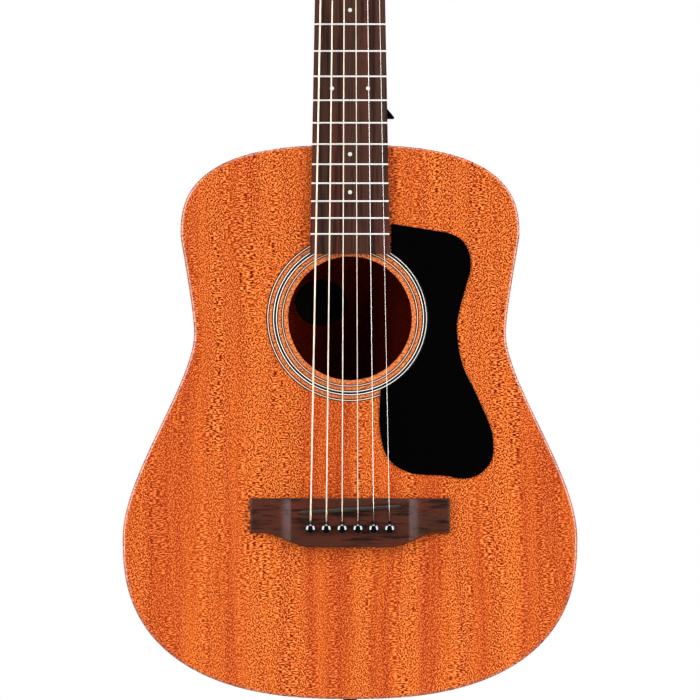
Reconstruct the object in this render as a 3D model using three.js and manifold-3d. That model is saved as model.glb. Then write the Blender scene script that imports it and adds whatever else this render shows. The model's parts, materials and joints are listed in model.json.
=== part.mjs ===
// A short-scale travel guitar, as the separate pieces that a luthier would lay out on the bench.
// Drawing frame of every piece: x to the treble side, y up the centre line towards the headstock,
// z out of the soundboard. The whole guitar is stood up at the end, so that the neck points up.
// The origin is on the centre line, at the front of the nut, in the plane of the soundboard.
// All lengths are in millimetres, all angles in degrees.

import * as THREE from 'three';
import { mergeVertices } from 'three/addons/utils/BufferGeometryUtils.js';
import Module from 'manifold-3d';

const wasm = await Module();
wasm.setup();

// Scale and frets
const scaleLength = 584.2;
const semitonesPerOctave = 12;
const fretCount = 19;
const bodyFret = 14;

// Clearances
const glueLine = 0.3;
const fit = 0.3;
const touch = 0.1;
const overrun = 2;

// Body box
const bodyLength = 403.5;
const upperBoutWidth = 246.6;
const waistWidth = 226.8;
const lowerBoutWidth = 330.8;
const upperBoutShare = 0.164;
const waistShare = 0.34;
const lowerBoutShare = 0.71;
const shoulderSquareness = 2.65;
const tailSquareness = 2.49;
const waistEaseShares = [0.05, 0.24];
const flankEaseShares = [0.24, 0.31];
const depthAtNeck = 78;
const depthAtTail = 92;
const topThickness = 2.8;
const backThickness = 2.6;
const sideThickness = 2;
const liningWidth = 6;
const liningDepth = 14;
const liningToe = 4;

// Sound hole and rosette
const holeRadius = 45;
const holeFromBoard = 1.7;
const inlayDepth = 1;
const innerRingFromHole = 3.4;
const innerRingWidth = 1.8;
const mainRingFromHole = 7.5;
const mainRingWidth = 4;
const outerRingFromHole = 13.8;
const outerRingWidth = 2.1;

// Blocks and braces
const neckBlockWidth = 74;
const neckBlockLength = 44;
const tailBlockWidth = 66;
const tailBlockLength = 18;
const braceWidth = 7;
const braceHeight = 13;
const braceTip = 3.5;
const braceTaper = 45;
const braceLength = 420;
const crossPlaceShare = 0.417;
const crossAngle = 45;
const transverseBraceWidth = 11;
const transverseBraceLength = 232;
const keyNotchRadius = 6.5;
const toneBarLength = 150;
const toneBarHeight = 9;
const toneBarPlaceShare = 0.39;
const toneBarSpanShare = 0.495;
const bridgePlateTopEdge = 6;
const bridgePlateFlare = 9.8;
const bridgePlateThickness = 2.6;
const backBraceWidth = 8;
const backBraceHeight = 11;
const backBraceLength = 330;
const backBraceShares = [
  { name: 'back_brace_upper', place: 0.15 },
  { name: 'back_brace_middle', place: 0.45 },
  { name: 'back_brace_lower', place: 0.76 },
];

// Label on the inside of the back
const labelWidth = 38;
const labelHeight = 34;
const labelThickness = 0.3;
const labelOffCentre = 21.5;
const labelAboveHole = 12;

// Neck, heel and headstock
const boardWidthAtNut = 43;
const boardWidthAtEnd = 58;
const boardBeyondLastFret = 14.5;
const boardThickness = 5;
const boardCamberRadius = 400;
const fretHeight = 1;
const fretWidth = 2.2;
const fretCrownShares = [[0.5, 0], [0.22, 1], [-0.22, 1], [-0.5, 0]];
const camberShares = [-1, -0.4, 0.4, 1];
const neckDepthAtNut = 15;
const neckDepthAtHeel = 17;
const heelLength = 64;
const heelCapLength = 20;
const heelCapThickness = 2.5;
const heelCapFullness = 0.6;
const heelSquareness = 1.6;
const heelFullness = 1.12;
const tenonWidth = 22;
const tenonLength = 16;
const tenonDepth = 62;
const headAngle = 13;
const headLength = 150;
const headThickness = 14;
const headFlare = 32;
const headWidthAtFlare = 66;
const headWidthAtTop = 71;
const headCorner = 7;
const headSquareness = 12;
const headFullness = 1.05;
const headFlareStartShare = 0.35;
const headSquaringShare = 0.75;
const headplateThickness = 1.6;
const nutThickness = 5;
const nutSlotSlack = 0.15;

// Truss rod
const rodRadius = 2.5;
const rodDepth = 8;
const rodFromNut = 16;
const rodNutRadius = 4;
const rodNutLength = 9;
const rodNutSocket = 2.2;
const rodNutWall = 0.4;
const rodThreadLength = 9;

// Bridge, saddle and pins
const bridgeLength = 145;
const bridgeBlockLength = 86;
const bridgeTopEdge = 3;
const bridgeWingWidth = 25.5;
const bridgeBellyWidth = 35.6;
const bellyFlat = 54;
const bellyEnd = 82;
const wingCornerRun = 123;
const bridgeHeight = 7.5;
const wingHeightAtBlock = 4.6;
const wingHeightAtEnd = 3.2;
const wingRamp = 6;
const wingSweep = 1.3;
const bridgeEdgeEase = 0.8;
const bridgeKneeDrop = 2.7;
const saddleLength = 74;
const saddleThickness = 3;
const saddleOffset = 5.2;
const saddleSlant = 3.58;
const saddleSlotDepth = 4;
const saddleEase = 1;
const saddleCrownShares = [[-1, 1], [-0.6, 0.33], [0, 0], [0.6, 0.33], [1, 1]];
const pinRow = 19.2;
const pinSpread = 57.5;
const pinHeadRadius = 3.9;
const pinHeadHeight = 4.2;
const pinShaftRadius = 2.5;
const pinTipRadius = 2;
const pinShaftLength = 21;
const pinHeadShares = [[1, 0.3], [0.87, 0.72], [0.5, 0.94]];

// Strings, from the highest to the lowest
const stringGauges = [0.3, 0.41, 0.61, 0.81, 1.07, 1.35];
const stringSpreadAtNut = 34.5;
const actionAtNut = 0.6;
const actionAtSaddle = 5;
const ballRadius = 2;
const ballLength = 3.4;
const ballEndRadius = 1.2;
const ballEase = 0.7;
const plainStrings = 2;

// Pickguard
const guardWidth = 83.3;
const guardLengthShare = 0.7125;
const guardFromCentre = 21.1;
const guardAboveScaleEnd = 17.2;
const guardThickness = 1;
const guardBoardGap = 1;
const guardRosetteGap = 0.4;

// Strap button and end pin
const buttonLean = 40;
const buttonFromJoint = 18.5;
const buttonHeelDepth = 52;
const buttonStemRadius = 2.4;
const buttonStemLength = 12;
const buttonSeatBite = 1;
const buttonBaseRadius = 4.6;
const buttonWaistRadius = 3.4;
const buttonRimRadius = 6.2;
const buttonLength = 11.5;
const endPinShaftRadius = 3.4;
const endPinShaftLength = 26;
const endPinBaseRadius = 5.2;
const endPinWaistRadius = 3.8;
const endPinRimRadius = 6.6;
const buttonEdgeEase = 0.4;
const buttonHeightShares = [0.2, 0.42, 0.6, 0.86, 0.96];

// Tuners
const postAcross = 40;
const firstPost = 42;
const postSpacing = 36;
const postRadius = 3.2;
const postHeight = 17;
const postHoleRadius = 1;
const postHoleLift = 0.3;
const postShoulder = 0.9;
const postEdgeEase = 0.8;
const plateThickness = 1.2;
const plateWidth = 20;
const plateEnd = 15;
const plateCorner = 4;
const gearTeeth = 14;
const gearPitch = 2.6;
const gearThickness = 4.2;
const gearCrest = 0.7;
const gearRoot = 1;
const wormPitchRadius = 3;
const wormTurns = 3;
const toothShare = 0.36;
const crestShare = 0.55;
const keyShaftRadius = 2;
const earThickness = 1.6;
const earWidth = 7;
const knobGap = 3.5;
const knobLength = 19;
const knobWidth = 17;
const knobThickness = 9.5;
const postScrewRadius = 3.4;
const postScrewHeight = 1.5;
const windingTurns = 2;
const windingGap = 0.5;
const windingLift = 5.4;

// Facet counts
const shoulderSteps = 11;
const flankSteps = 5;
const tailSteps = 11;
const holeSides = 44;
const ringSides = 28;
const roundSides = 16;
const smallSides = 12;
const stringSides = 5;
const windingSides = 5;
const windingSteps = 14;
const sectionSteps = 10;
const threadSteps = 7;
const pinSides = 10;
const boreSides = 8;
const flareSteps = 6;
const cornerSteps = 4;
const heelSteps = 6;
const shaftSteps = 3;
const nutSides = 6;
const guardSteps = 34;
const guardArcSteps = 14;

// Places that follow from the sizes
const radians = THREE.MathUtils.degToRad;
const fretPlace = (fret) => -scaleLength * (1 - 2 ** (-fret / semitonesPerOctave));
const scaleEnd = -scaleLength;
const bodyTop = fretPlace(bodyFret);
const bodyTail = bodyTop - bodyLength;
const boardEnd = fretPlace(fretCount) - boardBeyondLastFret;
const holeY = boardEnd - holeFromBoard - holeRadius;
const guardLength = guardLengthShare * (bodyTop - scaleEnd);
const guardRosetteRadius = holeRadius + mainRingFromHole + mainRingWidth + guardRosetteGap;
const rosetteRings = [
  { name: 'rosette_inner_ring', inner: holeRadius + innerRingFromHole, width: innerRingWidth },
  { name: 'rosette_main_ring', inner: holeRadius + mainRingFromHole, width: mainRingWidth },
  { name: 'rosette_outer_ring', inner: holeRadius + outerRingFromHole, width: outerRingWidth },
];
const gearPitchRadius = (gearTeeth * gearPitch) / (2 * Math.PI);
const wormRadiusSum = gearPitchRadius + wormPitchRadius;
const pinY = scaleEnd - pinRow;
const saddleY = scaleEnd - saddleOffset;
const heelHeight = depthAtNeck - heelCapThickness;
const maxStringRadius = Math.max(...stringGauges) / 2;
const stringHoleY = pinY + pinHeadRadius + fit + maxStringRadius;

const camber = (x) => -(x * x) / (2 * boardCamberRadius);
const boardHalf = (y) => {
  const share = y / boardEnd;
  return (boardWidthAtNut + (boardWidthAtEnd - boardWidthAtNut) * share) / 2;
};
const depthAt = (y) => {
  const share = (bodyTop - y) / bodyLength;
  return depthAtNeck + (depthAtTail - depthAtNeck) * share;
};
const backOutside = (y) => -depthAt(y);
const backInside = (y) => backOutside(y) + backThickness;
const backSeat = (y) => backInside(y) + glueLine;
const insideWall = sideThickness + glueLine;
const insideLining = insideWall + liningWidth + glueLine;

// Materials
const finish = (color, roughness, metalness = 0) =>
  new THREE.MeshStandardMaterial({ color, roughness, metalness });
const mahogany = () => finish('#d9652a', 0.45);
const darkMahogany = () => finish('#8c4422', 0.5);
const insideWood = () => finish('#b98a5a', 0.7);
const rosewood = () => finish('#50322a', 0.5);
const blackPlastic = () => finish('#0b0b0c', 0.15);
const bone = () => finish('#e9e2cf', 0.35);
const greyBone = () => finish('#5b574a', 0.4);
const steel = () => finish('#d6d6d4', 0.25, 1);
const bronze = () => finish('#c9a06a', 0.35, 1);
const chrome = () => finish('#cfd0d2', 0.15, 1);
const inlay = () => finish('#ece6da', 0.4);
const paper = () => finish('#3a2a22', 0.85);

// Closed shell from points and triangles, turned so that its faces point out
function shell(points, faces) {
  const volume = faces.reduce((sum, _, i) => {
    if (i % 3 > 0) return sum;
    const [a, b, c] = [0, 1, 2].map((k) => points[faces[i + k]]);
    return sum + a[0] * (b[1] * c[2] - b[2] * c[1])
      + a[1] * (b[2] * c[0] - b[0] * c[2])
      + a[2] * (b[0] * c[1] - b[1] * c[0]);
  }, 0);
  const index = volume > 0 ? faces : faces.slice().reverse();
  const geometry = new THREE.BufferGeometry();
  geometry.setAttribute('position', new THREE.Float32BufferAttribute(points.flat(), 3));
  geometry.setIndex(index);
  return geometry;
}

// Solid between rings of equally many points, with a flat cap at each end
function loft(rings) {
  const size = rings[0].length;
  const last = (rings.length - 1) * size;
  const faces = [];
  for (let i = 0; i + 1 < rings.length; i++) {
    for (let j = 0; j < size; j++) {
      const a = i * size + j;
      const b = i * size + ((j + 1) % size);
      faces.push(a, b, b + size, a, b + size, a + size);
    }
  }
  for (let j = 1; j + 1 < size; j++) {
    faces.push(0, j + 1, j);
    faces.push(last, last + j, last + j + 1);
  }
  return shell(rings.flat(), faces);
}

function solidOf(geometry) {
  const bare = geometry.clone();
  bare.deleteAttribute('normal');
  bare.deleteAttribute('uv');
  const merged = mergeVertices(bare);
  const vertProperties = Float32Array.from(merged.attributes.position.array);
  const triVerts = Uint32Array.from(merged.index.array);
  return new wasm.Manifold(new wasm.Mesh({ numProp: 3, vertProperties, triVerts }));
}

function geometryOf(solid) {
  const mesh = solid.getMesh();
  const geometry = new THREE.BufferGeometry();
  geometry.setAttribute('position', new THREE.BufferAttribute(Float32Array.from(mesh.vertProperties), 3));
  geometry.setIndex(new THREE.BufferAttribute(Uint32Array.from(mesh.triVerts), 1));
  return geometry;
}

const cut = (piece, ...tools) =>
  geometryOf(tools.reduce((left, tool) => left.subtract(solidOf(tool)), solidOf(piece)));
const join = (...pieces) =>
  geometryOf(pieces.map(solidOf).reduce((whole, piece) => whole.add(piece)));
const overlap = (piece, other) => geometryOf(solidOf(piece).intersect(solidOf(other)));

// Straight prism on a shape, whose two faces lie at heights that may change with y
function slab(shape, low, high, curveSegments = roundSides) {
  const geometry = new THREE.ExtrudeGeometry(shape, { depth: 1, bevelEnabled: false, curveSegments });
  const places = geometry.attributes.position;
  const heightAt = (height, y) => (typeof height === 'function' ? height(y) : height);
  for (let i = 0; i < places.count; i++) {
    const bottom = heightAt(low, places.getY(i));
    const top = heightAt(high, places.getY(i));
    places.setZ(i, bottom + (top - bottom) * places.getZ(i));
  }
  return geometry;
}

function shapeOf(points) {
  const corners = points.map(([x, y]) => new THREE.Vector2(x, y));
  return new THREE.Shape(THREE.ShapeUtils.isClockWise(corners) ? corners.reverse() : corners);
}
const rectangle = (x0, x1, y0, y1) => shapeOf([[x0, y0], [x1, y0], [x1, y1], [x0, y1]]);
const box = (x0, x1, y0, y1, z0, z1) => slab(rectangle(x0, x1, y0, y1), z0, z1);

function circlePoints(x, y, radius, sides) {
  return Array.from({ length: sides }, (_, i) => {
    const angle = (i * 2 * Math.PI) / sides;
    return [x + radius * Math.cos(angle), y + radius * Math.sin(angle)];
  });
}

const disc = (x, y, radius, z0, z1, sides) => slab(shapeOf(circlePoints(x, y, radius, sides)), z0, z1);

function annulus(y, inner, outer, z0, z1) {
  const shape = shapeOf(circlePoints(0, y, outer, ringSides));
  shape.holes.push(shapeOf(circlePoints(0, y, inner, ringSides)));
  return slab(shape, z0, z1);
}

// Turned piece: radius and height pairs round the z axis, from its foot to its top
function turned(profile, sides) {
  const points = profile.map(([radius, height]) => new THREE.Vector2(radius, height));
  return new THREE.LatheGeometry(points, sides).rotateX(Math.PI / 2);
}

const cylinder = (radius, from, to, sides) =>
  turned([[0, from], [radius, from], [radius, to], [0, to]], sides);

// Prism whose section is drawn in y and z and which runs along x
function crosswise(shape, x0, x1) {
  const geometry = new THREE.ExtrudeGeometry(shape, { depth: x1 - x0, bevelEnabled: false });
  const turn = new THREE.Matrix4().makeBasis(
    new THREE.Vector3(0, 1, 0), new THREE.Vector3(0, 0, 1), new THREE.Vector3(1, 0, 0));
  return geometry.applyMatrix4(turn).translate(x0, 0, 0);
}

function mirrored(geometry) {
  const places = geometry.attributes.position;
  const points = Array.from({ length: places.count }, (_, i) => [
    -places.getX(i), places.getY(i), places.getZ(i)]);
  const index = geometry.index ? Array.from(geometry.index.array) : points.map((_, i) => i);
  return shell(points, index);
}

// Round tube along points, with its own radius at each point
function tube(points, radii, sides) {
  const path = points.map((point) => new THREE.Vector3(...point));
  const steps = path.map((_, i) => {
    const before = path[Math.max(i - 1, 0)];
    const after = path[Math.min(i + 1, path.length - 1)];
    return after.clone().sub(before).normalize();
  });
  let across = new THREE.Vector3(1, 0, 0);
  if (Math.abs(steps[0].x) > Math.SQRT1_2) across = new THREE.Vector3(0, 0, 1);
  return loft(path.map((centre, i) => {
    const along = steps[i];
    across.addScaledVector(along, -across.dot(along)).normalize();
    const up = along.clone().cross(across);
    return circlePoints(0, 0, radii[i], sides).map(([a, b]) =>
      centre.clone().addScaledVector(across, a).addScaledVector(up, b).toArray());
  }));
}

// Outline of the treble half of the body, from the neck joint round to the tail, with inward normals
function bodyRim() {
  const upperY = bodyTop - upperBoutShare * bodyLength;
  const waistY = bodyTop - waistShare * bodyLength;
  const lowerY = bodyTop - lowerBoutShare * bodyLength;
  const upperX = upperBoutWidth / 2;
  const waistX = waistWidth / 2;
  const lowerX = lowerBoutWidth / 2;
  const bend = (x0, y0, x1, y1, [early, late]) => new THREE.CubicBezierCurve(
    new THREE.Vector2(x0, y0), new THREE.Vector2(x0, y0 + early * (y1 - y0)),
    new THREE.Vector2(x1, y1 - late * (y1 - y0)), new THREE.Vector2(x1, y1));
  const points = [];
  for (let i = 0; i <= shoulderSteps; i++) {
    const angle = (i * Math.PI) / (2 * shoulderSteps);
    const x = upperX * Math.sin(angle) ** (2 / shoulderSquareness);
    const y = upperY + (bodyTop - upperY) * Math.abs(Math.cos(angle)) ** (2 / shoulderSquareness);
    points.push([x, i < shoulderSteps ? y : upperY]);
  }
  const waist = bend(upperX, upperY, waistX, waistY, waistEaseShares).getPoints(flankSteps);
  const flank = bend(waistX, waistY, lowerX, lowerY, flankEaseShares).getPoints(2 * flankSteps);
  points.push(...waist.slice(1).map(({ x, y }) => [x, y]));
  points.push(...flank.slice(1).map(({ x, y }) => [x, y]));
  for (let i = 1; i <= tailSteps; i++) {
    const angle = (i * Math.PI) / (2 * tailSteps);
    const x = lowerX * Math.abs(Math.cos(angle)) ** (2 / tailSquareness);
    const y = lowerY + (bodyTail - lowerY) * Math.sin(angle) ** (2 / tailSquareness);
    points.push([i < tailSteps ? x : 0, y]);
  }
  return points.map(([x, y], i) => {
    const before = points[i - 1] ?? [-points[1][0], points[1][1]];
    const after = points[i + 1] ?? [-points[i - 1][0], points[i - 1][1]];
    const run = new THREE.Vector2(after[0] - before[0], after[1] - before[1]).normalize();
    return { x, y, inX: run.y, inY: -run.x };
  });
}
const rim = bodyRim();
const insetAt = (spot, distance) => [spot.x + spot.inX * distance, spot.y + spot.inY * distance];

function bodyShape(distance) {
  const half = rim.map((spot) => insetAt(spot, distance));
  const other = half.slice(1, -1).reverse().map(([x, y]) => [-x, y]);
  return shapeOf([...half, ...other]);
}

// Part of the rim between two distances from the centre line, one near the neck and one near the tail
function rimBetween(neckX, tailX) {
  const blend = (a, b, x) => {
    const share = (x - a.x) / (b.x - a.x);
    const mix = (key) => a[key] + (b[key] - a[key]) * share;
    return { x, y: mix('y'), inX: mix('inX'), inY: mix('inY') };
  };
  const first = rim.findIndex(({ x }) => x > neckX);
  const last = rim.length - 1 - rim.slice().reverse().findIndex(({ x }) => x > tailX);
  const start = blend(rim[first - 1], rim[first], neckX);
  const end = last + 1 < rim.length ? blend(rim[last], rim[last + 1], tailX) : rim[last];
  return [start, ...rim.slice(first, last + 1), end];
}

// Strip that follows the rim; its section is given as inset and height pairs for each place
function rimStrip(spots, section) {
  return loft(spots.map((spot) => section(spot).map(([distance, height]) =>
    [...insetAt(spot, distance), height])));
}

// Block that fills the body's end between the two halves of the rim
function endBlock(halfWidth, innerY, atTail) {
  const edge = rim.map((spot) => insetAt(spot, insideWall))
    .filter(([x, y]) => (atTail ? y < holeY : y > holeY) && x < halfWidth)
    .sort((a, b) => a[0] - b[0]);
  const beyond = rim.map((spot) => insetAt(spot, insideWall))
    .filter(([x, y]) => (atTail ? y < holeY : y > holeY) && x >= halfWidth)
    .sort((a, b) => a[0] - b[0])[0];
  const inner = edge[edge.length - 1];
  const share = (halfWidth - inner[0]) / (beyond[0] - inner[0]);
  const corner = [halfWidth, inner[1] + (beyond[1] - inner[1]) * share];
  const half = [...edge, corner, [halfWidth, innerY]];
  const other = half.slice(edge[0][0] > 0 ? 0 : 1).reverse().map(([x, y]) => [-x, y]);
  return slab(shapeOf([...half, ...other]), backSeat, -topThickness);
}

// Pin hole with a slot on its neck side for the string
function pinHole(x) {
  const slotHalf = maxStringRadius + fit;
  const radius = pinShaftRadius + fit;
  const start = Math.acos(slotHalf / radius);
  const sweep = 2 * Math.PI - (Math.PI - 2 * start);
  const round = Array.from({ length: boreSides + 1 }, (_, i) => {
    const angle = start - (i * sweep) / boreSides;
    return [x + radius * Math.cos(angle), pinY + radius * Math.sin(angle)];
  });
  const slotEnd = stringHoleY + slotHalf;
  return [[x + slotHalf, slotEnd], ...round, [x - slotHalf, slotEnd]];
}

// Strings: number 1 is the highest, on the treble side
const strings = stringGauges.map((gauge, i) => {
  const share = 0.5 - i / (stringGauges.length - 1);
  const radius = gauge / 2;
  const nutX = share * stringSpreadAtNut;
  const pinX = share * pinSpread;
  const xAt = (y) => nutX + ((pinX - nutX) * y) / pinY;
  const saddlePlace = saddleY + xAt(saddleY) * Math.tan(radians(saddleSlant));
  const nutBottom = boardThickness + fretHeight + actionAtNut + camber(nutX);
  const saddleBottom = boardThickness + actionAtSaddle + camber(xAt(saddlePlace));
  return { number: i + 1, radius, nutX, pinX, xAt, saddlePlace, nutBottom, saddleBottom };
});

// Braces: a bar with tapered ends, laid in x, then turned and moved to its place
function bar(length, width, height, taper, up) {
  const half = length / 2;
  const shape = shapeOf([[-half, 0], [half, 0], [half, up * braceTip], [half - taper, up * height],
    [-half + taper, up * height], [-half, up * braceTip]]);
  const geometry = new THREE.ExtrudeGeometry(shape, { depth: width, bevelEnabled: false });
  return geometry.translate(0, 0, -width / 2).rotateX(Math.PI / 2);
}

const insideBody = () => slab(bodyShape(insideLining), -2 * depthAtTail, depthAtTail);

function topBrace(angle, centreY, length, width, height, taper) {
  const piece = bar(length, width, height, taper, -1)
    .rotateZ(radians(angle)).translate(0, centreY, -topThickness);
  return overlap(piece, insideBody());
}

function backBrace(y) {
  const piece = bar(backBraceLength, backBraceWidth, backBraceHeight, braceTaper, 1)
    .translate(0, y, 0);
  const places = piece.attributes.position;
  for (let i = 0; i < places.count; i++) places.setZ(i, places.getZ(i) + backSeat(places.getY(i)));
  return overlap(piece, insideBody());
}

const crossY = THREE.MathUtils.lerp(holeY - holeRadius, scaleEnd, crossPlaceShare);

// Leg of the X, with the half of the lap that the other leg leaves it
function crossLeg(turn) {
  const leg = topBrace(turn * crossAngle, crossY, braceLength, braceWidth, braceHeight, braceTaper);
  const half = braceWidth / 2 + fit;
  const middle = -topThickness - braceHeight / 2;
  const low = -topThickness - braceHeight - overrun;
  const heights = turn > 0 ? [low, middle + fit / 2] : [middle - fit / 2, overrun];
  const lap = box(-braceWidth, braceWidth, -half, half, ...heights)
    .rotateZ(radians(-turn * crossAngle)).translate(0, crossY, 0);
  return cut(leg, lap);
}

// Body box
function soundboard() {
  const shape = bodyShape(0);
  shape.holes.push(shapeOf(circlePoints(0, holeY, holeRadius, holeSides)));
  strings.forEach(({ pinX }) => shape.holes.push(shapeOf(pinHole(pinX))));
  const plate = slab(shape, -topThickness, 0);
  const grooves = rosetteRings.map(({ inner, width }) =>
    annulus(holeY, inner - fit, inner + width + fit, -inlayDepth, overrun));
  return cut(plate, ...grooves);
}

const endPinHeight = () => -depthAt(bodyTail) / 2;
const endPinBore = () =>
  cylinder(endPinShaftRadius + fit, -endPinShaftLength - overrun, overrun, smallSides)
    .rotateX(Math.PI / 2).translate(0, bodyTail, endPinHeight());

function trebleSide() {
  const spots = rimBetween(tenonWidth / 2 + fit, 0);
  const wall = rimStrip(spots, ({ y }) => [[0, -topThickness], [sideThickness, -topThickness],
    [sideThickness, backSeat(y)], [0, backSeat(y)]]);
  return cut(wall, endPinBore());
}

function topLining() {
  return rimStrip(rimBetween(neckBlockWidth / 2 + liningToe, tailBlockWidth / 2 + liningToe), () => [
    [insideWall, -topThickness], [insideWall + liningWidth, -topThickness],
    [insideWall + liningWidth, -topThickness - liningToe], [insideWall, -topThickness - liningDepth]]);
}

function backLining() {
  return rimStrip(rimBetween(neckBlockWidth / 2 + liningToe, tailBlockWidth / 2 + liningToe), ({ y }) => [
    [insideWall, backSeat(y)], [insideWall, backSeat(y) + liningDepth],
    [insideWall + liningWidth, backSeat(y) + liningToe], [insideWall + liningWidth, backSeat(y)]]);
}

const rodSlot = (y0, y1) => box(-rodRadius - fit, rodRadius + fit, y0, y1,
  -rodDepth - rodRadius - fit, overrun);

function neckBlock() {
  const innerY = bodyTop - insideWall - neckBlockLength;
  const half = tenonWidth / 2 + fit;
  const mortise = box(-half, half, bodyTop - tenonLength - fit, bodyTop + overrun,
    -depthAtTail, overrun);
  return cut(endBlock(neckBlockWidth / 2, innerY, false), mortise, rodSlot(innerY - overrun, bodyTop));
}

const tailBlock = () =>
  cut(endBlock(tailBlockWidth / 2, bodyTail + insideWall + tailBlockLength, true), endPinBore());

function transverseBrace() {
  const blockInner = bodyTop - insideWall - neckBlockLength;
  const y = (blockInner - rodNutLength + holeY + holeRadius) / 2;
  const brace = topBrace(0, y, transverseBraceLength, transverseBraceWidth, braceHeight, braceTaper);
  const notch = cylinder(keyNotchRadius, -transverseBraceWidth, transverseBraceWidth, smallSides)
    .rotateX(Math.PI / 2).translate(0, y, -rodDepth);
  return cut(brace, notch);
}

function bridgePlate() {
  const topY = scaleEnd + bridgePlateTopEdge;
  const lowY = scaleEnd - bridgeBellyWidth;
  const legGap = braceWidth / 2 / Math.cos(radians(crossAngle)) + fit;
  const halfAt = (y) => (crossY - y) / Math.tan(radians(crossAngle)) - legGap;
  const lowHalf = halfAt(topY) + bridgePlateFlare;
  const shoulderY = topY - bridgePlateFlare;
  const shape = shapeOf([[-halfAt(topY), topY], [halfAt(topY), topY], [lowHalf, shoulderY],
    [lowHalf, lowY], [-lowHalf, lowY], [-lowHalf, shoulderY]]);
  strings.forEach(({ pinX }) => shape.holes.push(shapeOf(pinHole(pinX))));
  return slab(shape, -topThickness - bridgePlateThickness, -topThickness);
}

// Tone bar: it slants through the room between the bridge plate and the tail block
function toneBar() {
  const high = scaleEnd - bridgeBellyWidth;
  const low = bodyTail + insideWall + tailBlockLength;
  const rise = Math.max(toneBarSpanShare * (high - low) - braceWidth, 0);
  const angle = -THREE.MathUtils.radToDeg(Math.asin(rise / toneBarLength));
  return topBrace(angle, THREE.MathUtils.lerp(high, low, toneBarPlaceShare), toneBarLength, braceWidth,
    toneBarHeight, braceTaper);
}

function label() {
  const shape = new THREE.Shape();
  shape.absellipse(-labelOffCentre, holeY + labelAboveHole, labelWidth / 2, labelHeight / 2,
    0, 2 * Math.PI);
  return slab(shape, backSeat, (y) => backSeat(y) + labelThickness, boreSides);
}

// Pickguard: a straight top edge, a spline round the outside and an arc beside the rosette
const guardEdgeShares = [
  [0.698, 0.945], [0.765, 0.911], [0.798, 0.866], [0.798, 0.813], [0.765, 0.761], [0.694, 0.641],
  [0.684, 0.566], [0.731, 0.446], [0.864, 0.318], [0.978, 0.197], [1, 0.13], [0.99, 0.08],
  [0.947, 0.046], [0.877, 0.017], [0.807, 0.004], [0.738, 0], [0.668, 0.003], [0.563, 0.012],
  [0.445, 0.014], [0.334, 0.017], [0.246, 0.026], [0.13, 0.055], [0.054, 0.1], [0.013, 0.168],
  [0, 0.243]];
const guardStraightShares = [0.598, 0.965];
function pickguard() {
  const place = ([across, along]) => new THREE.Vector2(
    guardFromCentre + across * guardWidth, scaleEnd + guardAboveScaleEnd + along * guardLength);
  const boardEdge = boardHalf(boardEnd) + guardBoardGap;
  const rise = Math.acos(boardEdge / guardRosetteRadius);
  const drop = Math.acos((guardFromCentre + guardBoardGap) / guardRosetteRadius);
  const edge = new THREE.SplineCurve([guardStraightShares, ...guardEdgeShares].map(place));
  const outside = edge.getPoints(guardSteps);
  const beside = Array.from({ length: guardArcSteps + 1 }, (_, i) => {
    const angle = -drop + ((rise + drop) * i) / guardArcSteps;
    return [guardRosetteRadius * Math.cos(angle), holeY + guardRosetteRadius * Math.sin(angle)];
  });
  const corner = [boardEdge, scaleEnd + guardAboveScaleEnd + guardLength];
  return slab(shapeOf([corner, ...outside.map(({ x, y }) => [x, y]), ...beside]), 0, guardThickness);
}

// Bridge: sections across it, from end to end
function bridge() {
  const topY = scaleEnd + bridgeTopEdge;
  const halfBlock = bridgeBlockLength / 2;
  const halfLength = bridgeLength / 2;
  const widthAt = (x) => {
    if (x <= bellyFlat / 2) return bridgeBellyWidth;
    if (x >= wingCornerRun / 2) return bridgeWingWidth;
    const kneeWidth = bridgeBellyWidth - bridgeKneeDrop;
    if (x <= bellyEnd / 2) {
      const share = (x - bellyFlat / 2) / (bellyEnd / 2 - bellyFlat / 2);
      return bridgeBellyWidth + (kneeWidth - bridgeBellyWidth) * share ** 2;
    }
    const share = (x - bellyEnd / 2) / (wingCornerRun / 2 - bellyEnd / 2);
    return kneeWidth + (bridgeWingWidth - kneeWidth) * (1 - (1 - share) ** wingSweep);
  };
  const heightAt = (x) => {
    if (x <= halfBlock) return bridgeHeight;
    const ramp = Math.min((x - halfBlock) / wingRamp, 1);
    const run = (x - halfBlock) / (halfLength - halfBlock);
    const wing = wingHeightAtBlock + (wingHeightAtEnd - wingHeightAtBlock) * run;
    return wing + (bridgeHeight - wing) * (1 - ramp) ** 2;
  };
  const between = (from, to, steps) =>
    Array.from({ length: steps }, (_, i) => from + ((to - from) * (i + 1)) / steps);
  const stations = [
    0,
    bellyFlat / 2,
    ...between(bellyFlat / 2, halfBlock, 2),
    ...between(halfBlock, halfBlock + wingRamp, 3),
    ...between(halfBlock + wingRamp, wingCornerRun / 2, 2),
    halfLength];
  const places = [...stations.slice(1).reverse().map((x) => -x), ...stations];
  const block = loft(places.map((x) => {
    const near = topY;
    const far = topY - widthAt(Math.abs(x));
    const height = heightAt(Math.abs(x));
    return [[x, near, 0], [x, near, height - bridgeEdgeEase], [x, near - bridgeEdgeEase, height],
      [x, far + bridgeEdgeEase, height], [x, far, height - bridgeEdgeEase], [x, far, 0]];
  }));
  const slotHalf = saddleThickness / 2 + fit;
  const slot = box(-saddleLength / 2 - fit, saddleLength / 2 + fit, -slotHalf, slotHalf,
    bridgeHeight - saddleSlotDepth, bridgeHeight + overrun)
    .rotateZ(radians(saddleSlant)).translate(0, saddleY, 0);
  const holes = strings.map(({ pinX }) =>
    slab(shapeOf(pinHole(pinX)), -overrun, bridgeHeight + overrun));
  return cut(block, slot, ...holes);
}

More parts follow.
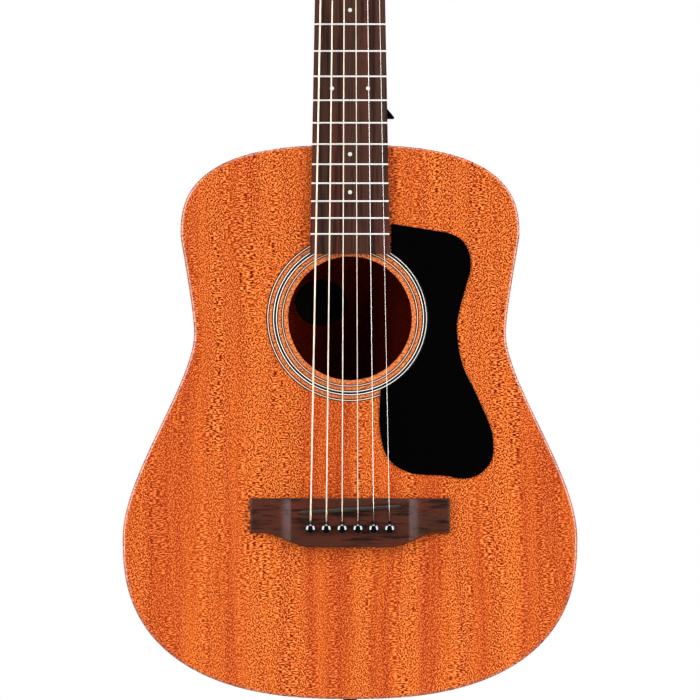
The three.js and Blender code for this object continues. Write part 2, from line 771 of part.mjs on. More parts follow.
// Saddle: a rounded strip whose crown follows the camber of the strings
function saddle() {
  const half = saddleThickness / 2;
  const foot = bridgeHeight - saddleSlotDepth + fit;
  const steps = boreSides;
  const ends = Array.from({ length: steps + 1 }, (_, i) => (i / steps - 0.5) * saddleLength);
  return loft(ends.map((x) => {
    const crown = boardThickness + actionAtSaddle + camber(x) - touch;
    const top = saddleCrownShares.map(([across, drop]) => [x, half * across, crown - saddleEase * drop]);
    return [[x, -half, foot], ...top, [x, half, foot]];
  })).rotateZ(radians(saddleSlant)).translate(0, saddleY, 0);
}

const bridgePin = () => turned([
  [0, -pinShaftLength],
  [pinTipRadius, -pinShaftLength],
  [pinShaftRadius, 0],
  [pinHeadRadius - bridgeEdgeEase, 0],
  ...pinHeadShares.map(([wide, high]) => [pinHeadRadius * wide, pinHeadHeight * high]),
  [0, pinHeadHeight]], pinSides);

// Section of the neck: flat on top, with a round or square underside
function neckSection(half, depth, squareness, fullness) {
  return Array.from({ length: sectionSteps + 1 }, (_, i) => {
    const angle = (i * Math.PI) / sectionSteps;
    const across = Math.sign(Math.cos(angle)) * Math.abs(Math.cos(angle)) ** (2 / squareness);
    const down = Math.abs(Math.sin(angle)) ** (2 / squareness);
    const x = THREE.MathUtils.clamp(fullness * half * across, -half, half);
    return [x, -Math.min(fullness * depth * down, depth)];
  });
}

const heelRing = (y, depth, share) => {
  const squareness = 2 + (heelSquareness - 2) * share;
  const fullness = 1 + (heelFullness - 1) * share;
  return neckSection(boardHalf(y), depth, squareness, fullness).map(([x, z]) => [x, y, z]);
};

// Half the width of the heel at a depth below the soundboard's plane
function heelHalfAt(depth) {
  const down = Math.min(depth / (heelFullness * heelHeight), 1) ** (heelSquareness / 2);
  const across = Math.sqrt(1 - down * down) ** (2 / heelSquareness);
  return Math.min(heelFullness * across, 1) * boardHalf(bodyTop);
}

// Point of the headstock's own frame, which leans back at the nut, in the drawing frame
const fromHead = (x, yl, zl) => {
  const tilt = radians(headAngle);
  return [
    x,
    nutThickness + yl * Math.cos(tilt) + zl * Math.sin(tilt),
    zl * Math.cos(tilt) - yl * Math.sin(tilt)];
};

const headHalf = (yl) => {
  const flare = THREE.MathUtils.smoothstep(yl, 0, headFlare);
  const straight = headWidthAtFlare + ((headWidthAtTop - headWidthAtFlare) * yl) / headLength;
  return (boardWidthAtNut + (straight - boardWidthAtNut) * flare) / 2;
};

// Rings of the headstock, from the nut to its top edge
function headRings() {
  const ring = (yl, half, share) => neckSection(half, headThickness,
    2 + (headSquareness - 2) * share, 1 + (headFullness - 1) * share).map(([x, z]) => fromHead(x, yl, z));
  const flare = Array.from({ length: flareSteps }, (_, i) => {
    const yl = headFlare * THREE.MathUtils.lerp(headFlareStartShare, 1, i / (flareSteps - 1));
    return ring(yl, headHalf(yl), Math.min((i + 1) / (flareSteps * headSquaringShare), 1));
  });
  const corner = Array.from({ length: cornerSteps + 1 }, (_, i) => {
    const angle = (i * Math.PI) / (2 * cornerSteps);
    const yl = headLength - headCorner * (1 - Math.sin(angle));
    return ring(yl, headHalf(yl) - headCorner * (1 - Math.cos(angle)), 1);
  });
  return [...flare, ...corner];
}

const buttonSeat = () => {
  const y = bodyTop + buttonFromJoint;
  return [heelHalfAt(buttonHeelDepth) - buttonSeatBite, y, -buttonHeelDepth];
};
const atButton = (geometry) =>
  geometry.rotateY(Math.PI / 2).rotateZ(radians(buttonLean)).translate(...buttonSeat());

function neck() {
  const heelBase = bodyTop + glueLine;
  const heelTop = bodyTop + heelLength;
  const rings = [heelRing(heelBase, heelHeight, 1)];
  for (let i = 0; i <= heelSteps; i++) {
    const angle = (Math.PI / 2) * (1 - i / heelSteps);
    const y = bodyTop + heelCapLength + (heelLength - heelCapLength) * (1 - Math.sin(angle));
    const depth = neckDepthAtHeel + (heelHeight - neckDepthAtHeel) * (1 - Math.cos(angle));
    rings.push(heelRing(y, depth, (depth - neckDepthAtHeel) / (heelHeight - neckDepthAtHeel)));
  }
  for (let i = 1; i <= shaftSteps; i++) {
    const share = i / shaftSteps;
    const depth = neckDepthAtHeel + (neckDepthAtNut - neckDepthAtHeel) * share;
    rings.push(heelRing(heelTop * (1 - share), depth, 0));
  }
  const nutSection = neckSection(boardWidthAtNut / 2, neckDepthAtNut, 2, 1);
  rings.push(nutSection.map(([x, z]) => [x, nutThickness, z]));
  const blank = loft([...rings, ...headRings()]);
  const tenon = box(-tenonWidth / 2, tenonWidth / 2, bodyTop - tenonLength, heelBase + overrun,
    -tenonDepth, -topThickness - glueLine);
  const postHoles = tunerPlaces.map(({ x, y }) => {
    const hole = disc(x, y, postRadius + fit, -2 * headThickness, headThickness, smallSides);
    return hole.rotateX(-radians(headAngle)).translate(0, nutThickness, 0);
  });
  const stemEnd = -buttonStemLength - fit;
  const stemHole = atButton(cylinder(buttonStemRadius + fit, stemEnd, overrun, smallSides));
  const seat = atButton(cylinder(buttonBaseRadius + fit, -fit, buttonLength, smallSides));
  const slot = rodSlot(bodyTop - tenonLength - overrun, -rodFromNut);
  return cut(join(blank, tenon), slot, stemHole, seat, ...postHoles);
}

// Fretboard with its frets: cambered on top, a low round crown at each fret
function fretboard() {
  const ring = (y, rise) => {
    const half = boardHalf(y);
    const top = camberShares.map((share) => {
      const x = share * half;
      return [x, y, boardThickness + camber(x) + rise];
    });
    return [[half, y, 0], [-half, y, 0], ...top];
  };
  const rings = [ring(0, 0)];
  for (let fret = 1; fret <= fretCount; fret++) {
    const y = fretPlace(fret);
    fretCrownShares.forEach(([run, rise]) => rings.push(ring(y + run * fretWidth, rise * fretHeight)));
  }
  rings.push(ring(boardEnd, 0));
  return loft(rings);
}

function nut() {
  const half = boardWidthAtNut / 2;
  const steps = boreSides;
  const top = boardThickness + fretHeight + actionAtNut;
  const body = loft(Array.from({ length: steps + 1 }, (_, i) => {
    const x = (i / steps - 0.5) * 2 * half;
    const crown = top + camber(x) + maxStringRadius;
    return [[x, 0, 0], [x, nutThickness, 0], [x, nutThickness, crown - fretHeight],
      [x, nutThickness / 2, crown], [x, 0, crown]];
  }));
  const slots = strings.map(({ nutX, radius, nutBottom }) => {
    const width = radius + nutSlotSlack;
    return box(nutX - width, nutX + width, -overrun, nutThickness + overrun, nutBottom - touch, 2 * top);
  });
  return cut(body, ...slots);
}

// Headstock veneer, cut to the headstock's face a little inside its edge
function headplate() {
  const inset = glueLine;
  const half = [];
  for (let i = 0; i <= flareSteps; i++) {
    const yl = glueLine + ((headFlare - glueLine) * i) / flareSteps;
    half.push([headHalf(yl) - inset, yl]);
  }
  for (let i = 0; i <= cornerSteps; i++) {
    const angle = (i * Math.PI) / (2 * cornerSteps);
    const yl = headLength - inset - headCorner * (1 - Math.sin(angle));
    half.push([headHalf(yl) - inset - headCorner * (1 - Math.cos(angle)), yl]);
  }
  const shape = shapeOf([...half, ...half.slice().reverse().map(([x, y]) => [-x, y])]);
  tunerPlaces.forEach(({ x, y }) =>
    shape.holes.push(shapeOf(circlePoints(x, y, postRadius + fit, smallSides))));
  return slab(shape, glueLine, glueLine + headplateThickness);
}

function heelCap() {
  const bottomHalf = heelHalfAt(heelHeight);
  const points = [];
  for (let i = 0; i <= roundSides / 2; i++) {
    const angle = (i * Math.PI) / (roundSides / 2);
    const rise = (heelCapLength - fit) * Math.sin(angle) ** heelCapFullness;
    points.push([bottomHalf * Math.cos(angle), bodyTop + glueLine + rise]);
  }
  return slab(shapeOf(points), -heelHeight - heelCapThickness, -heelHeight);
}

const rodEnd = () => bodyTop - insideWall - neckBlockLength - rodNutLength + fit;

function trussRod() {
  return turned([
    [0, rodEnd()],
    [rodRadius - fit, rodEnd()],
    [rodRadius - fit, rodEnd() + rodThreadLength],
    [rodRadius, rodEnd() + rodThreadLength],
    [rodRadius, -rodFromNut - fit],
    [0, -rodFromNut - fit]], smallSides).rotateX(-Math.PI / 2).translate(0, 0, -rodDepth);
}

function trussRodNut() {
  const innerY = bodyTop - insideWall - neckBlockLength - fit;
  const foot = innerY - rodNutLength - overrun;
  const tool = (radius, from, to, sides) => cylinder(radius, from, to, sides)
    .rotateX(-Math.PI / 2).translate(0, 0, -rodDepth);
  return cut(tool(rodNutRadius, foot, innerY, roundSides),
    tool(rodRadius, rodEnd() - fit, innerY + overrun, smallSides),
    tool(rodNutSocket, foot - overrun, rodEnd() - fit - rodNutWall, nutSides));
}

// Strap button or end pin: a stem, a base, a waist that the strap lies round and a rim
function strapHolder(stemLength, stem, base, waist, rimRadius) {
  const heights = buttonHeightShares.map((share) => share * buttonLength);
  const [baseTop, waistLow, waistHigh, rimLow, rimHigh] = heights;
  return turned([
    [0, -stemLength],
    [stem, -stemLength],
    [stem, 0],
    [base, 0],
    [base, baseTop],
    [waist, waistLow],
    [waist, waistHigh],
    [rimRadius, rimLow],
    [rimRadius, rimHigh],
    [rimRadius - buttonEdgeEase, buttonLength],
    [0, buttonLength]], smallSides);
}
const strapButton = () => atButton(strapHolder(buttonStemLength, buttonStemRadius, buttonBaseRadius,
  buttonWaistRadius, buttonRimRadius));
const endPin = () => strapHolder(endPinShaftLength, endPinShaftRadius, endPinBaseRadius,
  endPinWaistRadius, endPinRimRadius).rotateX(Math.PI / 2).translate(0, bodyTail - fit, endPinHeight());

// Tuners: three machines on each side, each with a worm on its key and a gear on its post
const tunerPlaces = strings.map(({ number }) => {
  const side = number <= strings.length / 2 ? 1 : -1;
  const rank = side > 0 ? number - 1 : strings.length - number;
  return { number, side, x: (side * postAcross) / 2, y: firstPost + rank * postSpacing };
});
const plateTop = -headThickness - glueLine;
const plateBottom = plateTop - plateThickness;
const wormCrestRadius = wormPitchRadius + gearCrest;
const wormCoreRadius = wormPitchRadius - gearRoot;
const wormZ = plateBottom - fit - wormCrestRadius;
const wormHalf = (wormTurns * gearPitch) / 2 + touch;

function tunerPlate(side) {
  const x = (side * postAcross) / 2;
  const places = tunerPlaces.filter((place) => place.side === side);
  const low = firstPost - wormRadiusSum - plateEnd + earWidth / 2;
  const high = firstPost + 2 * postSpacing + plateEnd;
  const half = plateWidth / 2;
  const shape = shapeOf([[x - half, low + plateCorner], [x - half + plateCorner, low],
    [x + half - plateCorner, low], [x + half, low + plateCorner], [x + half, high - plateCorner],
    [x + half - plateCorner, high], [x - half + plateCorner, high], [x - half, high - plateCorner]]);
  places.forEach((place) =>
    shape.holes.push(shapeOf(circlePoints(place.x, place.y, postRadius + fit, smallSides))));
  const plate = slab(shape, plateBottom, plateTop);
  const ear = (y, from) => {
    const lip = wormZ - keyShaftRadius - earThickness;
    const root = plateBottom + plateThickness / 2;
    const outline = shapeOf([[y - earWidth / 2, root], [y - earWidth / 2, wormZ], [y - earWidth / 4, lip],
      [y + earWidth / 4, lip], [y + earWidth / 2, wormZ], [y + earWidth / 2, root]]);
    outline.holes.push(shapeOf(circlePoints(y, wormZ, keyShaftRadius + fit, boreSides)));
    return crosswise(outline, from, from + earThickness);
  };
  const ears = places.flatMap((place) => {
    const y = place.y - wormRadiusSum;
    return [ear(y, place.x - wormHalf - fit - earThickness), ear(y, place.x + wormHalf + fit)];
  });
  return join(plate, ...ears);
}

// Screw thread of the worm, a trapezoid carried round the shaft's own x axis
function wormThread(phase) {
  const steps = Math.round(wormTurns * threadSteps);
  const foot = (toothShare / crestShare) * gearPitch;
  const crest = toothShare * crestShare * gearPitch;
  return loft(Array.from({ length: steps + 1 }, (_, i) => {
    const turn = (i / steps - 0.5) * (wormTurns - toothShare / crestShare);
    const angle = 2 * Math.PI * turn - phase;
    const x = turn * gearPitch;
    const at = (offset, radius) => [x + offset, radius * Math.cos(angle), radius * Math.sin(angle)];
    const root = wormCoreRadius - touch;
    return [at(-foot / 2, root), at(-crest / 2, wormCrestRadius), at(crest / 2, wormCrestRadius),
      at(foot / 2, root)];
  }));
}

// Outline of the knob: shares of its length, its width and its thickness
const knobShares = [
  [0, 0.3, 0.38], [0.12, 0.38, 0.48], [0.24, 0.5, 0.63], [0.36, 0.82, 0.91],
  [0.55, 0.98, 0.99], [0.72, 1, 1], [0.9, 0.82, 0.91], [1, 0.4, 0.5]];

// Key: worm, shaft and oval knob along its own x axis, with the middle of the worm at its origin
function tunerKey(phase) {
  const inner = -wormHalf - fit - earThickness - fit;
  const knobStart = headWidthAtTop / 2 - postAcross / 2 + knobGap;
  const ring = (x, halfWidth, halfThickness) => circlePoints(0, 0, 1, pinSides).map(([a, b]) =>
    [x, a * halfWidth, b * halfThickness]);
  const shaft = [inner, knobStart].map((x) => ring(x, keyShaftRadius, keyShaftRadius));
  const knob = knobShares.map(([along, wide, thick]) =>
    ring(knobStart + along * knobLength, (wide * knobWidth) / 2, (thick * knobThickness) / 2));
  return join(loft([...shaft, ...knob]), wormThread(phase));
}

// Gear with teeth that lean as the worm's thread does
function gear() {
  const lean = gearPitch / (2 * Math.PI * wormPitchRadius) / gearPitchRadius;
  const crest = gearPitchRadius + gearCrest;
  const root = gearPitchRadius - gearRoot;
  const halfAngle = (share, radius) => (share * gearPitch) / 2 / radius;
  const points = [];
  for (let tooth = 0; tooth < gearTeeth; tooth++) {
    const middle = (tooth * 2 * Math.PI) / gearTeeth - Math.PI / 2;
    const foot = halfAngle(toothShare / crestShare, root);
    const tip = halfAngle(toothShare * crestShare, crest);
    [[root, -foot], [crest, -tip], [crest, tip], [root, foot]].forEach(([radius, offset]) =>
      points.push([radius * Math.cos(middle + offset), radius * Math.sin(middle + offset)]));
  }
  const wheel = slab(shapeOf(points), -gearThickness / 2, gearThickness / 2);
  const places = wheel.attributes.position;
  for (let i = 0; i < places.count; i++) {
    const angle = lean * places.getZ(i);
    const [x, y] = [places.getX(i), places.getY(i)];
    places.setX(i, x * Math.cos(angle) - y * Math.sin(angle));
    places.setY(i, x * Math.sin(angle) + y * Math.cos(angle));
  }
  return wheel.translate(0, 0, wormZ);
}

// Where a string leaves the nut and where it meets its post, in the headstock's own frame
function stringRun({ number, radius, nutX, nutBottom }) {
  const place = tunerPlaces[number - 1];
  const tilt = radians(headAngle);
  const height = nutBottom + radius;
  const bend = new THREE.Vector3(nutX, -height * Math.sin(tilt), height * Math.cos(tilt));
  const wrap = postRadius + touch + radius;
  const away = new THREE.Vector2(place.x - bend.x, place.y - bend.y);
  const reach = away.length();
  const heading = away.angle();
  const aim = heading + place.side * Math.asin(wrap / reach);
  const run = Math.sqrt(reach * reach - wrap * wrap);
  const meet = new THREE.Vector3(
    bend.x + run * Math.cos(aim), bend.y + run * Math.sin(aim), windingLift + radius);
  const along = meet.clone().sub(bend).normalize();
  return { place, bend, meet, along, wrap, aim };
}

// Winding of a string on its post: one unbroken tube that climbs to the post's hole
let leastWindingGap = Infinity;
function winding(string) {
  const { place, meet, along, wrap, aim } = stringRun(string);
  const pitch = 2 * string.radius + windingGap;
  const steps = Math.round(windingTurns * windingSteps);
  const start = aim + (place.side * Math.PI) / 2;
  const lead = 2 * string.radius;
  const points = [meet.clone().addScaledVector(along, -lead)];
  for (let i = 0; i <= steps; i++) {
    const turn = (i / steps) * windingTurns;
    const angle = start - place.side * 2 * Math.PI * turn;
    points.push(new THREE.Vector3(place.x + wrap * Math.cos(angle), place.y + wrap * Math.sin(angle),
      meet.z + turn * pitch));
  }
  const end = points[points.length - 1];
  points.push(new THREE.Vector3(place.x + (end.x - place.x) / 2, place.y + (end.y - place.y) / 2, end.z));
  for (let i = 1; i <= steps; i++) {
    for (let j = i + Math.round(windingSteps / 2); j <= steps; j++) {
      leastWindingGap = Math.min(leastWindingGap, points[i].distanceTo(points[j]) - 2 * string.radius);
    }
  }
  const local = points.map(({ x, y, z }) => [x - place.x, y - place.y, z]);
  return { tube: tube(local, local.map(() => string.radius), windingSides), top: end.z };
}

// Post: gear and screw behind the plate, the shaft through the headstock, the string wound on it
function tunerPost(string) {
  const gearTop = wormZ + gearThickness / 2;
  const gearFoot = wormZ - gearThickness / 2;
  const wound = winding(string);
  const shaft = turned([
    [0, gearFoot - postScrewHeight],
    [postScrewRadius, gearFoot - postScrewHeight],
    [postScrewRadius, gearTop],
    [postRadius + postShoulder, gearTop],
    [postRadius + postShoulder, plateBottom - fit],
    [postRadius, plateBottom - fit],
    [postRadius, postHeight - postEdgeEase],
    [postRadius - postEdgeEase, postHeight],
    [0, postHeight]], smallSides);
  const hole = cylinder(postHoleRadius, -2 * postRadius, 2 * postRadius, stringSides)
    .rotateY(Math.PI / 2).translate(0, 0, wound.top + string.radius + postHoleLift + postHoleRadius);
  return join(cut(join(shaft, gear()), hole), wound.tube);
}

// String from its ball end over the saddle and the nut to its post
function stringTube(string) {
  const { radius, xAt, saddlePlace, nutBottom, saddleBottom, nutX } = string;
  const { bend, meet, along } = stringRun(string);
  const plateUnder = -topThickness - bridgePlateThickness;
  const ballTop = plateUnder - fit;
  const ballFoot = ballTop - ballLength;
  const x = xAt(stringHoleY);
  const lead = 2 * radius + fit;
  const stop = meet.clone().addScaledVector(along, -lead);
  const points = [
    [x, stringHoleY, ballFoot],
    [x, stringHoleY, ballFoot + ballEase],
    [x, stringHoleY, ballTop - ballEase],
    [x, stringHoleY, ballTop],
    [x, stringHoleY, plateUnder - touch],
    [x, stringHoleY, bridgeHeight],
    [x, stringHoleY + radius, bridgeHeight + 2 * radius + touch],
    [xAt(saddlePlace), saddlePlace, saddleBottom + radius],
    [nutX, 0, nutBottom + radius],
    fromHead(bend.x, bend.y, bend.z),
    fromHead(stop.x, stop.y, stop.z)];
  const ball = [ballEndRadius, ballRadius, ballRadius, ballEndRadius];
  const radii = points.map((_, i) => ball[i] ?? radius);
  return tube(points, radii, stringSides);
}

// The assembled guitar
const guitar = new THREE.Group();
const head = new THREE.Group();
head.position.set(0, nutThickness, 0);
head.rotation.x = -radians(headAngle);
guitar.add(head);

function add(parent, name, geometry, material) {
  const mesh = new THREE.Mesh(geometry, material);
  mesh.name = name;
  parent.add(mesh);
  return mesh;
}

add(guitar, 'soundboard', soundboard(), mahogany());
add(guitar, 'back_plate', slab(bodyShape(0), backOutside, backInside), darkMahogany());
add(guitar, 'side_treble', trebleSide(), darkMahogany());
add(guitar, 'side_bass', mirrored(trebleSide()), darkMahogany());
add(guitar, 'neck_block', neckBlock(), insideWood());
add(guitar, 'tail_block', tailBlock(), insideWood());
add(guitar, 'top_lining_treble', topLining(), insideWood());
add(guitar, 'top_lining_bass', mirrored(topLining()), insideWood());
add(guitar, 'back_lining_treble', backLining(), insideWood());
add(guitar, 'back_lining_bass', mirrored(backLining()), insideWood());
add(guitar, 'x_brace_lower_lap', crossLeg(1), insideWood());
add(guitar, 'x_brace_upper_lap', crossLeg(-1), insideWood());
add(guitar, 'transverse_brace', transverseBrace(), insideWood());
add(guitar, 'tone_bar', toneBar(), insideWood());
add(guitar, 'bridge_plate', bridgePlate(), insideWood());
backBraceShares.forEach(({ name, place }) =>
  add(guitar, name, backBrace(bodyTop - place * bodyLength), insideWood()));
rosetteRings.forEach(({ name, inner, width }) =>
  add(guitar, name, annulus(holeY, inner, inner + width, -inlayDepth + fit, 0), inlay()));
add(guitar, 'label', label(), paper());
add(guitar, 'pickguard', pickguard(), blackPlastic());
add(guitar, 'bridge', bridge(), rosewood());
add(guitar, 'saddle', saddle(), greyBone());
add(guitar, 'neck', neck(), darkMahogany());
add(guitar, 'fretboard', fretboard(), rosewood());
add(guitar, 'nut', nut(), bone());
add(guitar, 'heel_cap', heelCap(), rosewood());
add(guitar, 'truss_rod', trussRod(), steel());
add(guitar, 'truss_rod_nut', trussRodNut(), steel());
add(guitar, 'strap_button', strapButton(), blackPlastic());
add(guitar, 'end_pin', endPin(), blackPlastic());
add(head, 'headplate', headplate(), rosewood());
add(head, 'tuner_plate_treble', tunerPlate(1), chrome());
add(head, 'tuner_plate_bass', tunerPlate(-1), chrome());

strings.forEach((string) => {
  const { number, pinX } = string;
  const { side, x, y } = tunerPlaces[number - 1];
  add(guitar, `string_${number}`, stringTube(string), number > plainStrings ? bronze() : steel());
  add(guitar, `bridge_pin_${number}`, bridgePin(), blackPlastic()).position.set(pinX, pinY, bridgeHeight);
  add(head, `tuner_post_${number}`, tunerPost(string), chrome()).position.set(x, y, 0);
  const key = add(head, `tuner_key_${number}`, tunerKey(side > 0 ? Math.PI : 0), chrome());
  key.position.set(x, y - wormRadiusSum, wormZ);
  key.rotation.z = side > 0 ? 0 : Math.PI;
});
console.log(`least gap between a winding's turns ${leastWindingGap.toFixed(2)} mm`);

// Stand the guitar up: the neck to +z, the soundboard to -y
guitar.rotation.x = Math.PI / 2;
guitar.updateMatrixWorld(true);

export default guitar;
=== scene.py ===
"""Looks of the travel guitar: every visible surface and finish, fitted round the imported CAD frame.

All places are in metres in the pack's frame: X to the treble side, Y from the soundboard to the back,
Z up the neck. The origin is on the centre line, at the front of the nut, in the soundboard's face.
"""

import json
import math

import bmesh
import bpy
import numpy as np
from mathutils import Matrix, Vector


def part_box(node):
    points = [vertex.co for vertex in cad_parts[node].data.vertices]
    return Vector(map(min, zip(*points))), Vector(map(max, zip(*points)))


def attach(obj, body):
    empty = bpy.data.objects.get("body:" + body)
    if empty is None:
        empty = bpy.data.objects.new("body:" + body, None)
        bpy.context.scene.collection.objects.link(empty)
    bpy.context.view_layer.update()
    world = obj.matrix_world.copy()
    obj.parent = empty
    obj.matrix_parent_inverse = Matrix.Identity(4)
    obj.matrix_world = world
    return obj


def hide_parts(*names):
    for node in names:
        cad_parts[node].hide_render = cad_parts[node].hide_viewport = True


bl_info = {
    "name": "Travel guitar looks",
    "version": (1, 0, 0),
    "blender": (4, 5, 0),
    "location": "3D View > Sidebar > Guitar",
    "description": "Builds the surfaces, finishes and studio of a travel guitar round its CAD frame",
    "category": "Add Mesh",
}

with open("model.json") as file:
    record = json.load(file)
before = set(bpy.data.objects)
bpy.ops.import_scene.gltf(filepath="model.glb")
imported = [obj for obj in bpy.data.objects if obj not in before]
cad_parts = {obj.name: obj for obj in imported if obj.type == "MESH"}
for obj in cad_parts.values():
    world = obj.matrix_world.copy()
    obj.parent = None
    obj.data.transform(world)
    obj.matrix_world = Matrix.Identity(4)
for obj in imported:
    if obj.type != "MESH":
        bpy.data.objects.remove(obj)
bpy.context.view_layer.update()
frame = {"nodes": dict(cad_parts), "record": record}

ROOT = "guitar"
STRINGS = 6
NUMBERS = range(1, STRINGS + 1)
TOUCH = 0.0001
TOP_LOW, TOP_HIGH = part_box("soundboard")

# Body outline, and its depth
JOINT_Z = TOP_HIGH.z
TAIL_Z = TOP_LOW.z
BODY_LENGTH = JOINT_Z - TAIL_Z
UPPER_HALF = 0.1233
WAIST_HALF = 0.1134
LOWER_HALF = TOP_HIGH.x
UPPER_SHARE = 0.164
WAIST_SHARE = 0.34
LOWER_SHARE = 0.71
SHOULDER_SQUARENESS = 2.65
TAIL_SQUARENESS = 2.49
WAIST_EASE_SHARES = (0.05, 0.24)
FLANK_EASE_SHARES = (0.24, 0.31)
TOP_THICKNESS = TOP_HIGH.y
BACK_THICKNESS = 0.0026
SIDE_THICKNESS = 0.002
DEPTH_AT_NECK = 0.078
DEPTH_AT_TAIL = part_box("back_plate")[1].y
SIDE_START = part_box("side_treble")[0].x

# Sound hole, and the rosette's veneers with their radii
HOLE_RADIUS = 0.045
HOLE_Z = sum(corner.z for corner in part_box("rosette_main_ring")) / 2
GROOVE_DEPTH = 0.0009
GROOVE_SLACK = 0.00015
VENEERS = ("dark", "pale", "black", "rosy")
RING_BANDS = {
    "rosette_inner_ring": ((0.0483, 0.049, 0.0495, 0.0502), "dark rosy dark"),
    "rosette_main_ring": ((0.0524, 0.05315, 0.05375, 0.0553, 0.0559, 0.0566), "dark pale black pale dark"),
    "rosette_outer_ring": ((0.0587, 0.0595, 0.0601, 0.0609), "dark rosy dark"),
}
LABEL_LAYERS = ((1, 0.0002), (1, 0.0004), (0.93, 0.0005), (0.9, 0.0004))  # shares of its size, lift

# Scale, fretboard and nut
SCALE = 0.5842
FRETS = 19
BOARD_END_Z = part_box("fretboard")[0].z
BOARD_HALF_AT_NUT = 0.0215
BOARD_HALF_AT_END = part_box("fretboard")[1].x
BOARD_THICKNESS = 0.005
CAMBER_RADIUS = 0.4
FRET_HEIGHT = 0.001
FRET_HALF_WIDTH = 0.00064
FRET_SINK = 0.0005
FRET_END_ROUND = 0.0012
DOT_RADIUS = 0.0015
DOT_RIM = 0.0004
DOT_LIFT = 0.00004
DOT_THICKNESS = 0.001
DOT_PAIR_HALF = 0.0131
DOT_FRETS = (3, 5, 7, 9, 15, 17)
PAIR_FRET = 12
NUT_THICKNESS = 0.005

# Neck and headstock
NECK_DEPTH_AT_NUT = 0.015
NECK_DEPTH_AT_HEEL = 0.017
HEEL_LENGTH = 0.064
HEEL_CAP_LENGTH = 0.02
HEEL_CAP_FULLNESS = 0.6
HEEL_CAP_THICKNESS = 0.0025
HEEL_SQUARENESS = 1.6
HEEL_FULLNESS = 1.12
HEEL_HEIGHT = DEPTH_AT_NECK - HEEL_CAP_THICKNESS
HEAD_ANGLE = math.radians(13)
HEAD_LENGTH = 0.15
HEAD_THICKNESS = 0.014
HEAD_FLARE = 0.032
HEAD_FIRST_SHARE = 0.35
HEAD_WIDTH_AT_FLARE = 0.066
HEAD_WIDTH_AT_TOP = 0.071
HEAD_CORNER = 0.007
HEAD_SQUARENESS = 12
HEAD_FULLNESS = 1.05
HEADPLATE_TOP = 0.0019
GLUE_LINE = 0.0003

# Bridge, saddle and pins
BRIDGE_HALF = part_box("bridge")[1].x
BRIDGE_TOP_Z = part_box("bridge")[1].z
BRIDGE_BLOCK_HALF = 0.043
BRIDGE_BELLY_WIDTH = 0.0356
BRIDGE_WING_WIDTH = 0.0255
BELLY_FLAT_HALF = 0.027
BELLY_END_HALF = 0.041
WING_CORNER_HALF = 0.0615
KNEE_DROP = 0.0027
BRIDGE_HEIGHT = 0.0075
WING_HEIGHT_AT_BLOCK = 0.0046
WING_HEIGHT_AT_END = 0.0032
WING_RAMP = 0.01
RAMP_HOLLOW = 2.2
WING_SWEEP = 1.3
SADDLE_LENGTH = 0.074
SADDLE_THICKNESS = 0.003
SADDLE_SLOT_DEPTH = 0.004
SADDLE_FOOT = BRIDGE_HEIGHT - SADDLE_SLOT_DEPTH
SADDLE_END_ROUND = 0.0015
SADDLE_CROWN = 0.0009
SADDLE_Z = -SCALE - 0.0052
SADDLE_SLANT = math.radians(3.58)
PIN_Z = -SCALE - 0.0192
PIN_SPREAD = 0.0575
PIN_HEAD_RADIUS = 0.0039
PIN_HEAD_HEIGHT = 0.0042
PIN_SHAFT_RADIUS = 0.0025
PIN_TIP_RADIUS = 0.002
PIN_SHAFT_LENGTH = 0.021
HOLE_SLACK = 0.0003
BORE_DEPTH = 0.02

# Strings
STRING_RADII = np.array([0.3, 0.41, 0.61, 0.81, 1.07, 1.35]) / 2000
PLAIN_STRINGS = 2
NUT_SPREAD = 0.0345
ACTION_AT_NUT = 0.0006
ACTION_AT_SADDLE = 0.005
BALL_RADIUS = 0.002
BALL_LENGTH = 0.0034
BALL_EDGE = 0.0007
UNDER_PLATE = 0.0054
STRING_Z_AT_HOLE = PIN_Z + PIN_HEAD_RADIUS + HOLE_SLACK + STRING_RADII.max()

# Pickguard outline, as shares of its width and length
GUARD_SIZE = np.array([0.0833, 0.7125 * (JOINT_Z + SCALE)])
GUARD_FROM_CENTRE = 0.0211
GUARD_LOW_Z = 0.0172 - SCALE
GUARD_THICKNESS = 0.001
GUARD_BOARD_GAP = 0.001
GUARD_ARC_RADIUS = 0.05655
GUARD_EDGE_SHARES = np.array([
    (0.598, 0.965), (0.698, 0.945), (0.765, 0.911), (0.798, 0.866), (0.798, 0.813), (0.765, 0.761),
    (0.694, 0.641), (0.684, 0.566), (0.731, 0.446), (0.864, 0.318), (0.978, 0.197), (1, 0.13),
    (0.99, 0.08), (0.947, 0.046), (0.877, 0.017), (0.807, 0.004), (0.738, 0), (0.668, 0.003),
    (0.563, 0.012), (0.445, 0.014), (0.334, 0.017), (0.246, 0.026), (0.13, 0.055), (0.054, 0.1),
    (0.013, 0.168), (0, 0.243)])

# Tuners, in the headstock's own frame. Heights below its face are negative.
POST_ACROSS = 0.04
FIRST_POST = 0.042
POST_SPACING = 0.036
POST_RADIUS = 0.0032
POST_HEIGHT = 0.017
POST_ROUND = 0.001
POST_HOLE_RADIUS = 0.001
POST_WAIST = 0.0002
POST_DIMPLE_RADIUS = 0.0012
POST_DIMPLE_DEPTH = 0.0004
COLLAR_RADIUS = POST_RADIUS + 0.0009
PLATE_THICKNESS = 0.0012
PLATE_WIDTH = 0.02
PLATE_END = 0.015
PLATE_CORNER = 0.004
GEAR_TEETH = 14
GEAR_PITCH = 0.0026
GEAR_THICKNESS = 0.0042
GEAR_CREST = 0.0007
GEAR_ROOT = 0.001
GEAR_EASE = 0.0002
WORM_PITCH_RADIUS = 0.003
WORM_TURNS = 3
TOOTH_SHARE = 0.36
CREST_SHARE = 0.55
KEY_SHAFT_RADIUS = 0.002
KEY_COLLAR = 0.0007
EAR_THICKNESS = 0.0016
EAR_WIDTH = 0.007
